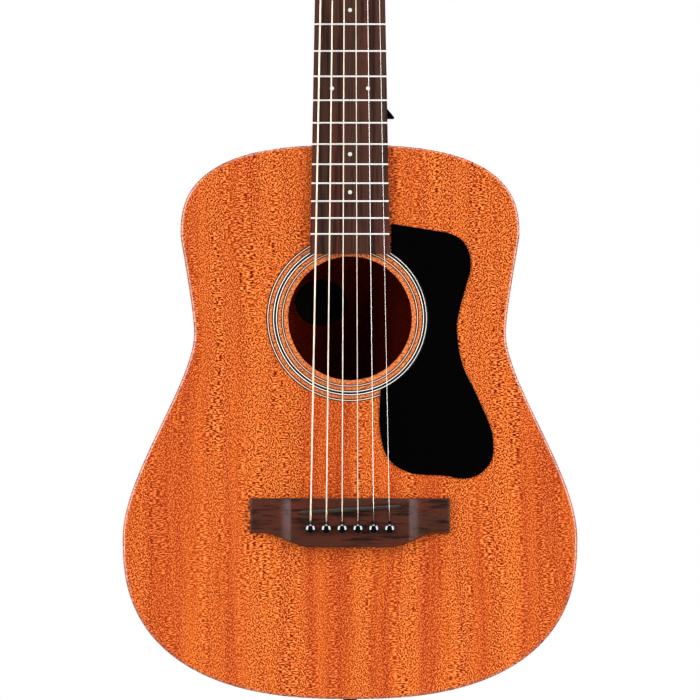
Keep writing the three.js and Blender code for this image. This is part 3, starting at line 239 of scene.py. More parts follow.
SMALL_EDGE = 0.0003
KNOB_GAP = 0.0035
KNOB_LENGTH = 0.019
KNOB_WIDTH = 0.017
KNOB_THICKNESS = 0.0095
POST_SCREW_RADIUS = 0.0034
POST_SCREW_HEIGHT = 0.0015
POST_SCREW_SLOT = np.array([(-0.004, -0.0004), (0.004, -0.0004), (0.004, 0.0004), (-0.004, 0.0004)])
POST_SCREW_SLOT_DEPTH = 0.0007
PLATE_SCREW_RADIUS = 0.0022
PLATE_SCREW_HEIGHT = 0.0012
PLATE_SCREW_INSET = 0.0045
PLATE_SCREW_SHARE = 0.36
FERRULE_RADIUS = 0.0056
FERRULE_HEIGHT = 0.0016
FERRULE_ROUND = 0.0009
WINDING_TURNS = 2
WINDING_GAP = 0.0005
WINDING_LIFT = 0.0054
# Along the knob, and the shares of its width and thickness there
KNOB_SHARES = np.array([
    (0, 0.3, 0.38), (0.12, 0.38, 0.48), (0.24, 0.5, 0.63), (0.36, 0.82, 0.91),
    (0.55, 0.98, 0.99), (0.72, 1, 1), (0.9, 0.82, 0.91), (0.97, 0.6, 0.7), (1, 0.3, 0.38)])

GEAR_PITCH_RADIUS = GEAR_TEETH * GEAR_PITCH / (2 * math.pi)
WORM_REACH = GEAR_PITCH_RADIUS + WORM_PITCH_RADIUS
PLATE_TOP = -HEAD_THICKNESS - GLUE_LINE
PLATE_BOTTOM = PLATE_TOP - PLATE_THICKNESS
WORM_CREST_RADIUS = WORM_PITCH_RADIUS + GEAR_CREST
WORM_CORE_RADIUS = WORM_PITCH_RADIUS - GEAR_ROOT
WORM_HEIGHT = PLATE_BOTTOM - HOLE_SLACK - WORM_CREST_RADIUS
WORM_HALF = WORM_TURNS * GEAR_PITCH / 2 + TOUCH
TOOTH_FOOT = TOOTH_SHARE / CREST_SHARE * GEAR_PITCH
TOOTH_TIP = TOOTH_SHARE * CREST_SHARE * GEAR_PITCH

# Strap button and end pin, with the radii of base, waist and rim
STRAP_LEAN = math.radians(40)
STRAP_LENGTH = 0.0115
STRAP_RIM_EDGE = 0.0006
STRAP_BUTTON_RADII = (0.0046, 0.0034, 0.0062)
STRAP_BUTTON_STEM = 0.012
END_PIN_RADII = (0.0052, 0.0038, 0.0066)
END_PIN_STEM = 0.026

# Camera of the photograph, and the studio. A lamp has its place, its size and its power in watts.
PICTURE_SIDE = 0.509
CAMERA_DISTANCE = 5.0
CAMERA_Z = -0.4735
SENSOR_WIDTH = 36
FLOOR_RADII = np.array([0.02, 1.2])[:, None]
FLOOR_CENTRE_Y = 0.05
FLOOR_DROP = 0.2
FLOOR_FADE = (1.1, 0.35)
FLOOR_GLOW = 0.72
LAMPS = {
    "left": ((-1.335, -0.9, -0.1), (1.15, 1.8), 32.8),
    "right": ((1.335, -0.9, -0.1), (1.15, 1.8), 32.8),
    "above": ((0.0, -0.9, 1.3), (1.2, 0.8), 11),
    "behind": ((0.5, 1.8, 0.5), (1.6, 1.4), 30),
}


# Meshes

def grid_faces(rows, columns, close_rows=False):
    """Quads between neighbours of a grid whose points are numbered row by row. The columns close round."""
    r = np.arange(rows if close_rows else rows - 1)
    r, c = (part.ravel() for part in np.meshgrid(r, np.arange(columns), indexing="ij"))
    up, right = (r + 1) % rows, (c + 1) % columns
    return np.stack([r * columns + c, r * columns + right, up * columns + right, up * columns + c], 1)


def plain_mesh(name, points, faces):
    """A mesh from an array of points (n, 3) and a list of faces."""
    mesh = bpy.data.meshes.new(name)
    mesh.from_pydata(points.tolist(), [], faces)
    return mesh


def linked(name, data):
    """A new object in the scene that shows a mesh, a lamp or a camera."""
    made = bpy.data.objects.new(name, data)
    bpy.context.scene.collection.objects.link(made)
    return made


def face_outwards(mesh, merge):
    """Turns the faces of a closed mesh outwards, after merging its doubles where asked."""
    shell = bmesh.new()
    shell.from_mesh(mesh)
    if merge:
        bmesh.ops.remove_doubles(shell, verts=shell.verts, dist=1e-7)
    bmesh.ops.recalc_face_normals(shell, faces=shell.faces)
    shell.to_mesh(mesh)
    shell.free()


class Form:
    """Points and faces of one mesh, gathered surface by surface, with a material number for each face and
    the distance along the piece for each point."""

    def __init__(self):
        self.points, self.faces, self.finishes, self.along = [], [], [], []
        self.count = 0

    def surface(self, points, close_rows=False, caps=False, row_finish=None, column_finish=None,
                cap_finish=(0, 0), along=0.0):
        """A grid of points (rows, columns, 3) whose columns close round. Caps close the first and the last
        row with one face each."""
        rows, columns = points.shape[:2]
        faces = grid_faces(rows, columns, close_rows)
        numbers = np.zeros(len(faces), int)
        if row_finish is not None:
            numbers = np.repeat(row_finish, columns)
        if column_finish is not None:
            numbers = np.tile(column_finish, rows - 1)
        self.points.append(points.reshape(-1, 3))
        self.faces.extend((faces + self.count).tolist())
        self.finishes.extend(numbers.tolist())
        if caps:
            first = np.arange(columns) + self.count
            self.faces += [first[::-1].tolist(), (first + (rows - 1) * columns).tolist()]
            self.finishes.extend(cap_finish)
        self.along.append(np.broadcast_to(along, (rows, columns)).ravel())
        self.count += rows * columns
        return self

    def piece(self, name, kinds, body=ROOT, node=None, slot=None, sharp=32):
        """The mesh object, shaded smooth except at edges sharper than the given angle."""
        mesh = plain_mesh(name, np.concatenate(self.points), self.faces)
        mesh.polygons.foreach_set("material_index", self.finishes)
        layer = mesh.uv_layers.new(name="along")
        corners = np.zeros(len(mesh.loops), int)
        mesh.loops.foreach_get("vertex_index", corners)
        run = np.concatenate(self.along)[corners]
        layer.data.foreach_set("uv", np.stack([run, np.zeros_like(run)], 1).ravel())
        face_outwards(mesh, merge=True)
        return finish_piece(mesh, name, kinds, body, node, sharp)


def finish_piece(mesh, name, kinds, body, node, sharp):
    """Puts a mesh into the scene as a piece that rides on a body and may stand for a CAD node."""
    for kind in kinds:
        mesh.materials.append(material(kind))
    mesh.polygons.foreach_set("use_smooth", np.ones(len(mesh.polygons), bool))
    mesh.set_sharp_from_angle(angle=math.radians(sharp))
    piece = linked(name, mesh)
    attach(piece, body)
    if node:
        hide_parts(node)
    return piece


def cut_away(form, *pieces):
    """Takes the form's shape out of the pieces, leaving each of them one plain mesh."""
    mesh = plain_mesh("cutter", np.concatenate(form.points), form.faces)
    face_outwards(mesh, merge=False)
    cutter = linked("cutter", mesh)
    for piece in pieces:
        step = piece.modifiers.new("holes", "BOOLEAN")
        step.operation = "DIFFERENCE"
        step.solver = "EXACT"
        step.object = cutter
        evaluated = piece.evaluated_get(bpy.context.evaluated_depsgraph_get())
        mesh = bpy.data.meshes.new_from_object(evaluated)
        mesh.name = piece.name
        piece.modifiers.clear()
        old, piece.data = piece.data, mesh
        bpy.data.meshes.remove(old)
        mesh.set_sharp_from_angle(angle=math.radians(32))
    bpy.data.objects.remove(cutter)


# Places and outlines

def points_at(x, y, z):
    """Points from their coordinates, each of which is a number or an array."""
    return np.stack(np.broadcast_arrays(x, y, z), -1)


def on_top(a, b, height):
    """Places on the soundboard: a is X, b is Z, and height stands out towards the player."""
    return points_at(a, -np.asarray(height), b)


def on_back(a, b, depth):
    """Places seen from the back: a is X, b is Z, and depth is Y."""
    return points_at(a, depth, b)


def in_head(a, b, height):
    """Turns headstock places (across, up from the nut, out of the face) into points of the frame."""
    up = NUT_THICKNESS + b * math.cos(HEAD_ANGLE) + height * math.sin(HEAD_ANGLE)
    return points_at(a, b * math.sin(HEAD_ANGLE) - height * math.cos(HEAD_ANGLE), up)


def spun(a, b, angle):
    """The coordinates a and b turned about the origin, from a towards b."""
    return a * math.cos(angle) - b * math.sin(angle), a * math.sin(angle) + b * math.cos(angle)


def unit(vectors):
    """Each vector divided by its own length."""
    return vectors / np.linalg.norm(vectors, axis=-1, keepdims=True)


def around(sides):
    """Angles of one full turn."""
    return np.linspace(0, 2 * math.pi, sides, endpoint=False)


def polar(radius, angle, x=0.0, y=0.0):
    """Points (n, 2) at a radius and an angle from a centre."""
    return np.stack([x + radius * np.cos(angle), y + radius * np.sin(angle)], 1)


def round_over(ease, steps=5):
    """Quarter circle that rounds an edge, from (ease, 0) to (0, ease), as pairs of inset and drop."""
    angle = np.linspace(0, math.pi / 2, steps + 1)
    return list(zip(ease * (1 - np.sin(angle)), ease * (1 - np.cos(angle))))


def rounded_corner(radius, height, ease):
    """Profile of a turned piece's rounded upper edge: a quarter circle from its side to its top."""
    return [(radius - drop, height - inset) for inset, drop in round_over(ease)]


def inward(points, closed=True):
    """Unit normals of an outline (n, 2), at right angles to its run, pointing inwards."""
    run = unit(np.roll(points, -1, 0) - np.roll(points, 1, 0) if closed else np.gradient(points, axis=0))
    across = np.stack([run[:, 1], -run[:, 0]], 1)
    following = np.roll(points, -1, 0)
    twice_area = np.sum(points[:, 0] * following[:, 1] - following[:, 0] * points[:, 1])
    return across if twice_area < 0 else -across


def length_along(points):
    """Distance of each point of a curve from the curve's start."""
    return np.concatenate([[0], np.cumsum(np.linalg.norm(np.diff(points, axis=0), axis=1))])


def even(points, count):
    """The same curve with count points at equal distances along it, and those distances."""
    length = length_along(points)
    at = np.linspace(0, length[-1], count)
    return np.stack([np.interp(at, length, part) for part in points.T], 1), at


def smooth_curve(points, per_step):
    """Catmull-Rom curve through points (n, k): on each step the weights are cubic polynomials of the
    share t from one point to the next, chosen so that the curve runs on smoothly."""
    padded = np.concatenate([points[:1], points, points[-1:]])
    t = np.linspace(0, 1, per_step, endpoint=False)[None, :, None]
    p0, p1, p2, p3 = (padded[i:len(points) - 1 + i, None] for i in range(4))
    curve = 0.5 * (2 * p1 + (p2 - p0) * t + (2 * p0 - 5 * p1 + 4 * p2 - p3) * t ** 2
                   + (3 * p1 - p0 - 3 * p2 + p3) * t ** 3)
    return np.concatenate([curve.reshape(-1, points.shape[1]), points[-1:]])


# Kinds of surface. place turns (a, b, height) numbers or arrays into points of the frame.

def plate(form, outline, low, high, ease, place, back_ease=0, cap_finish=(0, 0)):
    """Flat plate on a closed outline (n, 2): its wall rises from low to high, either of which may be one
    height for each point of the outline, and its edges are rounded by quarter circles of radius ease."""
    normals = inward(outline)
    rows = [(back_ease, low), (0, low + back_ease)] if back_ease else [(0, low)]
    rows += [(inset, high - drop) for inset, drop in round_over(ease)[::-1]]
    stack = [place(*(outline + normals * inset).T, height) for inset, height in rows]
    return form.surface(np.stack(stack), caps=True, cap_finish=cap_finish)


def turned(form, profile, place, sides=32, row_finish=None):
    """Surface of revolution: radius and height pairs carried round an axis, with closed poles."""
    radius, height = np.array(profile, float).T[:, :, None]
    angle = around(sides)
    return form.surface(place(radius * np.cos(angle), radius * np.sin(angle), height), row_finish=row_finish)


def tube(form, path, radii, sides, across):
    """Round tube on a path (n, 3): each ring lies across the path's run, with the given radius."""
    run = unit(np.gradient(path, axis=0))
    side = unit(across - np.sum(across * run, 1, keepdims=True) * run)
    up = np.cross(run, side)
    angle = around(sides)[None, :, None]
    spokes = side[:, None] * np.cos(angle) + up[:, None] * np.sin(angle)
    rings = path[:, None] + radii[:, None, None] * spokes
    return form.surface(rings, caps=True, along=length_along(path)[:, None])


def sections(form, rows):
    """Sections carried along a piece on the soundboard: each row is one line along it, as X, Z, height."""
    return form.surface(np.stack([on_top(*row) for row in rows], 1), caps=True)


# Body

def half_outline(count=300, fine=600):
    """Treble half of the body, from the neck joint to the tail, evenly spaced. The shoulder and the tail
    are quarters of superellipses, |x/a|^n + |z/b|^n = 1, and the waist and the flank are cubic Bezier
    curves that start and end parallel to the neck."""
    upper_z, waist_z, lower_z = JOINT_Z - np.array([UPPER_SHARE, WAIST_SHARE, LOWER_SHARE]) * BODY_LENGTH
    angle = np.linspace(0, math.pi / 2, fine)
    sine, cosine = np.sin(angle), np.abs(np.cos(angle))
    cosine[-1] = 0
    power = 2 / SHOULDER_SQUARENESS
    shoulder = np.stack([UPPER_HALF * sine ** power, upper_z + (JOINT_Z - upper_z) * cosine ** power], 1)
    power = 2 / TAIL_SQUARENESS
    tail = np.stack([LOWER_HALF * cosine ** power, lower_z + (TAIL_Z - lower_z) * sine ** power], 1)

    def bend(x0, z0, x1, z1, shares):
        """Cubic Bezier curve whose inner knots lie straight along Z from its ends."""
        t = np.linspace(0, 1, fine)[1:-1]
        u = 1 - t
        z_early = z0 + shares[0] * (z1 - z0)
        z_late = z1 - shares[1] * (z1 - z0)
        x = x0 * (u ** 3 + 3 * u * u * t) + x1 * (3 * u * t * t + t ** 3)
        z = z0 * u ** 3 + 3 * z_early * u * u * t + 3 * z_late * u * t * t + z1 * t ** 3
        return np.stack([x, z], 1)

    waist = bend(UPPER_HALF, upper_z, WAIST_HALF, waist_z, WAIST_EASE_SHARES)
    flank = bend(WAIST_HALF, waist_z, LOWER_HALF, lower_z, FLANK_EASE_SHARES)
    return even(np.concatenate([shoulder, waist, [[WAIST_HALF, waist_z]], flank, tail]), count)[0]


def whole_outline():
    """Both halves of the body as one closed outline, clockwise from the neck joint."""
    half = half_outline()
    return np.concatenate([half, half[-2:0:-1] * (-1, 1)])


def back_depth(z):
    """How deep the back's outer face lies: it slopes evenly from the neck joint to the tail."""
    return DEPTH_AT_NECK + (DEPTH_AT_TAIL - DEPTH_AT_NECK) * (JOINT_Z - z) / BODY_LENGTH


def top_board(sizes):
    """Soundboard: rows run from the hole's wall over its rounded edge, down and up through the three
    rosette grooves, outwards to the body's rounded edge and back underneath. Near the hole a row is a
    circle, outside it is the outline moved inwards, and all share the angle about the hole's centre."""
    outline = whole_outline()
    normals = inward(outline)
    ray = unit(outline - (0, HOLE_Z))
    rings = [(HOLE_RADIUS, TOP_THICKNESS)]
    rings += [(HOLE_RADIUS + inset, drop) for inset, drop in round_over(sizes.hole_ease, 3)[::-1]]
    for radii, _ in RING_BANDS.values():
        low, high = radii[0] - GROOVE_SLACK, radii[-1] + GROOVE_SLACK
        rings += [(low, 0), (low, GROOVE_DEPTH), (high, GROOVE_DEPTH), (high, 0)]
    rows = [on_back(*(ray * radius + (0, HOLE_Z)).T, depth) for radius, depth in rings]
    rim = [on_back(*(outline + normals * inset).T, drop) for inset, drop in round_over(sizes.edge_ease, 7)]
    middle = [rows[-1] + (rim[0] - rows[-1]) * share for share in (0.3, 0.65)]
    under = on_back(*outline.T, TOP_THICKNESS)
    points = np.stack(rows + middle + rim + [under])
    row_finish = np.zeros(len(points), int)
    row_finish[1:len(rows) - 1] = 3
    row_finish[len(rows + middle):-1] = 1
    row_finish[-1] = 2
    return Form().surface(points, close_rows=True, row_finish=row_finish).piece(
        "top_board", ["mahogany", "mahogany_edge", "inside_wood", "mahogany_ringed"], node="soundboard")


def back_board(sizes):
    """Back: a plate on the body's outline whose face slopes with the depth, with rounded edges."""
    outline = whole_outline()
    depth = back_depth(outline[:, 1])
    form = plate(Form(), outline, depth - BACK_THICKNESS, depth, sizes.edge_ease, on_back, cap_finish=(1, 0))
    return form.piece("back_board", ["mahogany_back", "inside_back"], node="back_plate")


def bent_side(node, sign):
    """Side: the strip between the soundboard and the back, swept along the rim from the heel to the tail."""
    half = half_outline(900)
    rim, length = even(half[np.searchsorted(half[:, 0], SIDE_START):], 260)
    inner = rim + inward(rim, closed=False) * SIDE_THICKNESS
    front = TOP_THICKNESS
    seat = back_depth(rim[:, 1]) - BACK_THICKNESS
    corners = [(rim, front), (rim, (front + seat) / 2), (rim, seat), (inner, seat), (inner, front)]
    points = np.stack([on_back(sign * line[:, 0], line[:, 1], depth) for line, depth in corners], 1)
    form = Form().surface(points, caps=True, column_finish=(0, 0, 0, 1, 0), along=length[:, None])
    return form.piece(node + "_bent", ["mahogany_side", "inside_wood"], node=node)


def rosette(name):
    """Ring of thin veneers: circles at the veneers' edges, in the soundboard's face and underneath."""
    radii, veneers = RING_BANDS[name]
    edge = np.array([radii[0], *radii, radii[-1]])[:, None]
    depth = np.zeros_like(edge)
    depth[[0, -1]] = GROOVE_DEPTH
    angle = around(256)
    points = on_back(edge * np.cos(angle), HOLE_Z + edge * np.sin(angle), depth)
    numbers = [VENEERS.index(veneer) for veneer in veneers.split()]
    row_finish = [numbers[0], *numbers, numbers[-1], numbers[0]]
    return Form().surface(points, close_rows=True, row_finish=row_finish).piece(
        name + "_veneers", ["veneer_" + veneer for veneer in VENEERS], node=name, slot="inlay")


def pickguard(sizes):
    """Pickguard: a smooth curve round its outside and a circle's arc beside the rosette."""
    corner_x = board_half(BOARD_END_Z) + GUARD_BOARD_GAP
    outside = smooth_curve(GUARD_EDGE_SHARES * GUARD_SIZE + (GUARD_FROM_CENTRE, GUARD_LOW_Z), 9)
    rise = math.acos(corner_x / GUARD_ARC_RADIUS)
    drop = math.acos((GUARD_FROM_CENTRE + GUARD_BOARD_GAP) / GUARD_ARC_RADIUS)
    arc = polar(GUARD_ARC_RADIUS, np.linspace(-drop, rise, 60), y=HOLE_Z)
    outline = np.concatenate([[[corner_x, GUARD_LOW_Z + GUARD_SIZE[1]]], outside, arc])
    return plate(Form(), outline, 0, GUARD_THICKNESS, sizes.guard_ease, on_top).piece(
        "pickguard_sheet", ["black_sheet"], node="pickguard")


def label():
    """Oval label on the inside of the back: an ellipse that lies on the back's slope."""
    low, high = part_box("label")
    middle = np.array(((low.x + high.x) / 2, (low.z + high.z) / 2))
    outline = polar(1, around(72)) * ((high.x - low.x) / 2, (high.z - low.z) / 2)
    seat = back_depth(middle[1] + outline[:, 1]) - BACK_THICKNESS
    rows = [on_back(*(middle + outline * share).T, seat - lift) for share, lift in LABEL_LAYERS]
    return Form().surface(np.stack(rows), caps=True).piece("oval_label", ["label_paper"], node="label")


# Bridge, saddle and pins

def bridge_width(x):
    """Bridge's width at a distance from its middle: full, then a parabola to the knee, then a
    hollow sweep, 1 - (1 - s)^1.3, to the wing."""
    knee = BRIDGE_BELLY_WIDTH - KNEE_DROP
    bow = np.clip((x - BELLY_FLAT_HALF) / (BELLY_END_HALF - BELLY_FLAT_HALF), 0, 1)
    sweep = np.clip((x - BELLY_END_HALF) / (WING_CORNER_HALF - BELLY_END_HALF), 0, 1)
    wing = knee + (BRIDGE_WING_WIDTH - knee) * (1 - (1 - sweep) ** WING_SWEEP)
    return np.where(x <= BELLY_END_HALF, BRIDGE_BELLY_WIDTH - KNEE_DROP * bow ** 2, wing)


def bridge_height(x):
    """Bridge's height at a distance from its middle: level, a hollow ramp, then a slow fall to the end."""
    ramp = np.clip((x - BRIDGE_BLOCK_HALF) / WING_RAMP, 0, 1)
    run = np.clip((x - BRIDGE_BLOCK_HALF) / (BRIDGE_HALF - BRIDGE_BLOCK_HALF), 0, 1)
    wing = WING_HEIGHT_AT_BLOCK + (WING_HEIGHT_AT_END - WING_HEIGHT_AT_BLOCK) * run
    fall = wing + (BRIDGE_HEIGHT - wing) * (1 - ramp) ** RAMP_HOLLOW
    return np.where(x <= BRIDGE_BLOCK_HALF, BRIDGE_HEIGHT, fall)


def string_share(number):
    """Where string number (1 is the highest) lies across the strings' spread, from 0.5 down to -0.5."""
    return 0.5 - (number - 1) / (STRINGS - 1)


def pin_hole_outline(x):
    """Pin hole: a circle with a straight slot for the string on its neck side."""
    slot = STRING_RADII.max() + HOLE_SLACK
    radius = PIN_SHAFT_RADIUS + HOLE_SLACK
    start = math.acos(slot / radius)
    round_part = polar(radius, np.linspace(start, -math.pi - start, 25), x, PIN_Z)
    slot_end = STRING_Z_AT_HOLE + slot
    return np.concatenate([[[x + slot, slot_end]], round_part, [[x - slot, slot_end]]])


def bridge(sizes):
    """Bridge: sections across it, each with rounded edges, carried along X, then bored and slotted."""
    ease = sizes.bridge_ease
    knots = (0, BELLY_FLAT_HALF, BRIDGE_BLOCK_HALF, BRIDGE_BLOCK_HALF + WING_RAMP, WING_CORNER_HALF)
    half = [np.linspace(a, b, count)[:-1] for a, b, count in zip(knots, knots[1:], (6, 15, 13, 14))]
    half.append(np.linspace(WING_CORNER_HALF, BRIDGE_HALF - ease, 6))
    half.append(BRIDGE_HALF - ease * (1 - np.sin(np.linspace(0.3, math.pi / 2, 4))))
    half = np.concatenate(half)
    x = np.concatenate([-half[:0:-1], half])
    far = np.abs(x)
    near_end = np.clip((far - BRIDGE_HALF + ease) / ease, 0, 1)
    height = bridge_height(far) - ease * (1 - np.cos(near_end * math.pi / 2)) * 0.8
    low_z = BRIDGE_TOP_Z - bridge_width(far)
    edge = round_over(ease, 4)
    rows = [(x, BRIDGE_TOP_Z, 0)]
    rows += [(x, BRIDGE_TOP_Z - inset, height - drop) for inset, drop in edge[::-1]]
    rows += [(x, low_z + inset, height - drop) for inset, drop in edge]
    rows += [(x, low_z, 0)]
    piece = sections(Form(), rows).piece("bridge_block", ["rosewood_bridge"], node="bridge")

    reach, wide = SADDLE_LENGTH / 2 + HOLE_SLACK, SADDLE_THICKNESS / 2 + HOLE_SLACK / 2
    right, left = (polar(wide, around(16), side * (reach - wide)) for side in (1, -1))
    slot = np.concatenate([right[12:], right[:5], left[4:13]])
    slot = np.stack(spun(*slot.T, SADDLE_SLANT), 1) + (0, SADDLE_Z)
    cut_away(plate(Form(), slot, SADDLE_FOOT, 2 * BRIDGE_HEIGHT, TOUCH, on_top), piece)
    holes = Form()
    for number in NUMBERS:
        hole = pin_hole_outline(string_share(number) * PIN_SPREAD)
        plate(holes, hole, -BORE_DEPTH, 2 * BRIDGE_HEIGHT, TOUCH, on_top)
    cut_away(holes, piece, bpy.data.objects["top_board"])
    return piece


def camber(x):
    """Drop of the fretboard's surface and of the strings away from the centre line."""
    return -x * x / (2 * CAMBER_RADIUS)


def saddle():
    """Saddle: a section with a rounded crown carried along its length, whose top follows the camber."""
    reach = SADDLE_LENGTH / 2
    x = reach * np.sin(np.linspace(-1, 1, 61) * math.pi / 2)
    near_end = np.maximum(np.abs(x) - reach + SADDLE_END_ROUND, 0) / SADDLE_END_ROUND
    half = SADDLE_THICKNESS / 2 * np.sqrt(np.clip(1 - near_end ** 2, 0.02, 1))
    crown = BOARD_THICKNESS + ACTION_AT_SADDLE + camber(x) - TOUCH
    section = [(half, SADDLE_FOOT + HOLE_SLACK)]
    section += [(half * math.cos(a), crown - SADDLE_CROWN * (1 - math.sin(a)))
                for a in np.linspace(0, math.pi, 11)]
    section += [(-half, SADDLE_FOOT + HOLE_SLACK)]
    rows = []
    for across, height in section:
        right, up = spun(x, across, SADDLE_SLANT)
        rows.append((right, SADDLE_Z + up, height))
    return sections(Form(), rows).piece("saddle_bone", ["grey_bone"], node="saddle")


def bridge_pin(number):
    """Bridge pin: a tapered shaft and a nearly round head, turned about the soundboard's normal."""
    swell = PIN_HEAD_RADIUS + HOLE_SLACK / 2
    ball = [(swell * math.cos(a), PIN_HEAD_HEIGHT * (0.36 + 0.64 * math.sin(a)))
            for a in np.linspace(-0.35, math.pi / 2, 14)]
    ball[-1] = (0, PIN_HEAD_HEIGHT)
    profile = [(0, -PIN_SHAFT_LENGTH), (PIN_TIP_RADIUS * 0.8, -PIN_SHAFT_LENGTH),
               (PIN_TIP_RADIUS, -PIN_SHAFT_LENGTH + 0.0005), (PIN_SHAFT_RADIUS, 0),
               (PIN_HEAD_RADIUS * 0.8, 0), (ball[0][0], ball[0][1] * 0.5), *ball]
    x = string_share(number) * PIN_SPREAD
    name = f"bridge_pin_{number}"
    form = turned(Form(), profile, lambda a, b, h: on_top(x + a, PIN_Z + b, BRIDGE_HEIGHT + h), 40)
    return form.piece(name + "_turned", ["black_pin"], body=name, node=name)


# Neck, fretboard and headstock

def fret_z(number):
    """Each fret leaves 2^(-1/12) of the string's length that the fret before it leaves."""
    return -SCALE * (1 - 2 ** (-number / 12))


def board_half(z):
    """Half the fretboard's width, which grows evenly from the nut to its end."""
    return BOARD_HALF_AT_NUT + (BOARD_HALF_AT_END - BOARD_HALF_AT_NUT) * z / BOARD_END_Z


def fingerboard(sizes):
    """Fretboard: a cambered top, rounded at both edges, carried from the nut to the end."""
    z = np.linspace(0, BOARD_END_Z, 41)
    half = board_half(z)
    ease = sizes.board_ease
    edge = BOARD_THICKNESS + camber(half) - ease
    rows = [(-half, z, 0), (-half, z, edge)]
    rows += [((half - ease * 0.8) * share, z, BOARD_THICKNESS + camber(half * share))
             for share in np.linspace(-1, 1, 15)]
    rows += [(half, z, edge), (half, z, 0)]
    return sections(Form(), rows).piece("fingerboard", ["rosewood"], node="fretboard")


def frets():
    """Frets: on each, half an ellipse stands on the cambered board and is carried across it, and sinks
    away over the last millimetre at either end."""
    form = Form()
    for number in range(1, FRETS + 1):
        z = fret_z(number)
        half = board_half(z) - TOUCH
        x = half * np.sin(np.linspace(-1, 1, 33) * math.pi / 2)
        near_end = np.clip((half - np.abs(x)) / FRET_END_ROUND, 0, 1)
        height = FRET_HEIGHT * np.sqrt(1 - (1 - near_end) ** 2)
        base = BOARD_THICKNESS + camber(x)
        rows = [(x, z + FRET_HALF_WIDTH, base - FRET_SINK)]
        rows += [(x, z + FRET_HALF_WIDTH * math.cos(a), base + height * math.sin(a))
                 for a in np.linspace(0, math.pi, 11)]
        rows += [(x, z - FRET_HALF_WIDTH, base - FRET_SINK)]
        sections(form, rows)
    return form.piece("frets", ["fret_wire"], sharp=50, slot="steel")


def position_dots():
    """Position dots: flat discs in the board between two frets, each with a thin dark rim."""
    form = Form()
    pair = [(side * DOT_PAIR_HALF, PAIR_FRET) for side in (-1, 1)]
    for x, number in [(0, number) for number in DOT_FRETS] + pair:
        z = (fret_z(number) + fret_z(number - 1)) / 2
        top = BOARD_THICKNESS + camber(x) + DOT_LIFT
        rim = DOT_RADIUS + DOT_RIM
        profile = [(0, top - DOT_THICKNESS), (rim, top - DOT_THICKNESS), (rim, top - DOT_LIFT / 2),
                   (DOT_RADIUS, top), (DOT_RADIUS * 0.6, top), (0, top)]
        turned(form, profile, lambda a, b, h: on_top(x + a, z + b, h), row_finish=[1, 1, 1, 0, 0])
    return form.piece("position_dots", ["pearl", "dot_rim"], slot="inlay")


def neck_section(half, depth, squareness=2.0, fullness=1.0):
    """Underside of the neck: half a superellipse, flat on top, cut off at the board's width and depth."""
    angle = np.linspace(0, math.pi, 49)
    across = np.sign(np.cos(angle)) * np.abs(np.cos(angle)) ** (2 / squareness)
    down = np.abs(np.sin(angle)) ** (2 / squareness)
    return np.clip(fullness * half * across, -half, half), np.minimum(fullness * depth * down, depth)


def head_half(up):
    """Half the headstock's width: it flares smoothly from the nut's width, then widens evenly."""
    flare = np.clip(up / HEAD_FLARE, 0, 1)
    flare = flare * flare * (3 - 2 * flare)
    straight = HEAD_WIDTH_AT_FLARE + (HEAD_WIDTH_AT_TOP - HEAD_WIDTH_AT_FLARE) * up / HEAD_LENGTH
    return (2 * BOARD_HALF_AT_NUT + (straight - 2 * BOARD_HALF_AT_NUT) * flare) / 2


def neck():
    """Neck, heel and headstock as one carving: half superellipses carried from the heel's foot up to the
    headstock's top edge, whose depth falls along a quarter ellipse in the heel."""
    rings = []

    def ring(z, depth, share=0):
        """One section of the neck, whose form is the share of the heel's."""
        x, down = neck_section(board_half(z), depth, 2 + (HEEL_SQUARENESS - 2) * share,
                               1 + (HEEL_FULLNESS - 1) * share)
        rings.append(points_at(x, down, z))

    def head_ring(up, half, share=1):
        """One section of the headstock, whose squareness is the share of its full squareness."""
        x, down = neck_section(half, HEAD_THICKNESS, 2 + (HEAD_SQUARENESS - 2) * share,
                               1 + (HEAD_FULLNESS - 1) * share)
        rings.append(in_head(x, up, -down))

    ring(JOINT_Z + GLUE_LINE, HEEL_HEIGHT, 1)
    ring(JOINT_Z + HEEL_CAP_LENGTH / 2, HEEL_HEIGHT, 1)
    for angle in np.linspace(math.pi / 2, 0, 30):
        z = JOINT_Z + HEEL_CAP_LENGTH + (HEEL_LENGTH - HEEL_CAP_LENGTH) * (1 - math.sin(angle))
        share = 1 - math.cos(angle)
        ring(z, NECK_DEPTH_AT_HEEL + (HEEL_HEIGHT - NECK_DEPTH_AT_HEEL) * share, share)
    for share in np.linspace(0, 1, 25)[1:]:
        depth = NECK_DEPTH_AT_HEEL + (NECK_DEPTH_AT_NUT - NECK_DEPTH_AT_HEEL) * share
        ring((JOINT_Z + HEEL_LENGTH) * (1 - share), depth)
    rings.append(points_at(*neck_section(BOARD_HALF_AT_NUT, NECK_DEPTH_AT_NUT), NUT_THICKNESS))
    for share in np.linspace(HEAD_FIRST_SHARE, 1, 18):
        up = HEAD_FLARE * share
        head_ring(up, head_half(up), min((share - HEAD_FIRST_SHARE) / 0.5 + 0.15, 1))
    for drop, inset in round_over(HEAD_CORNER, 8):
        head_ring(HEAD_LENGTH - drop, head_half(HEAD_LENGTH - drop) - inset)
    form = Form().surface(np.stack(rings), caps=True)
    return form.piece("carved_neck", ["mahogany_neck"], node="neck", sharp=40)


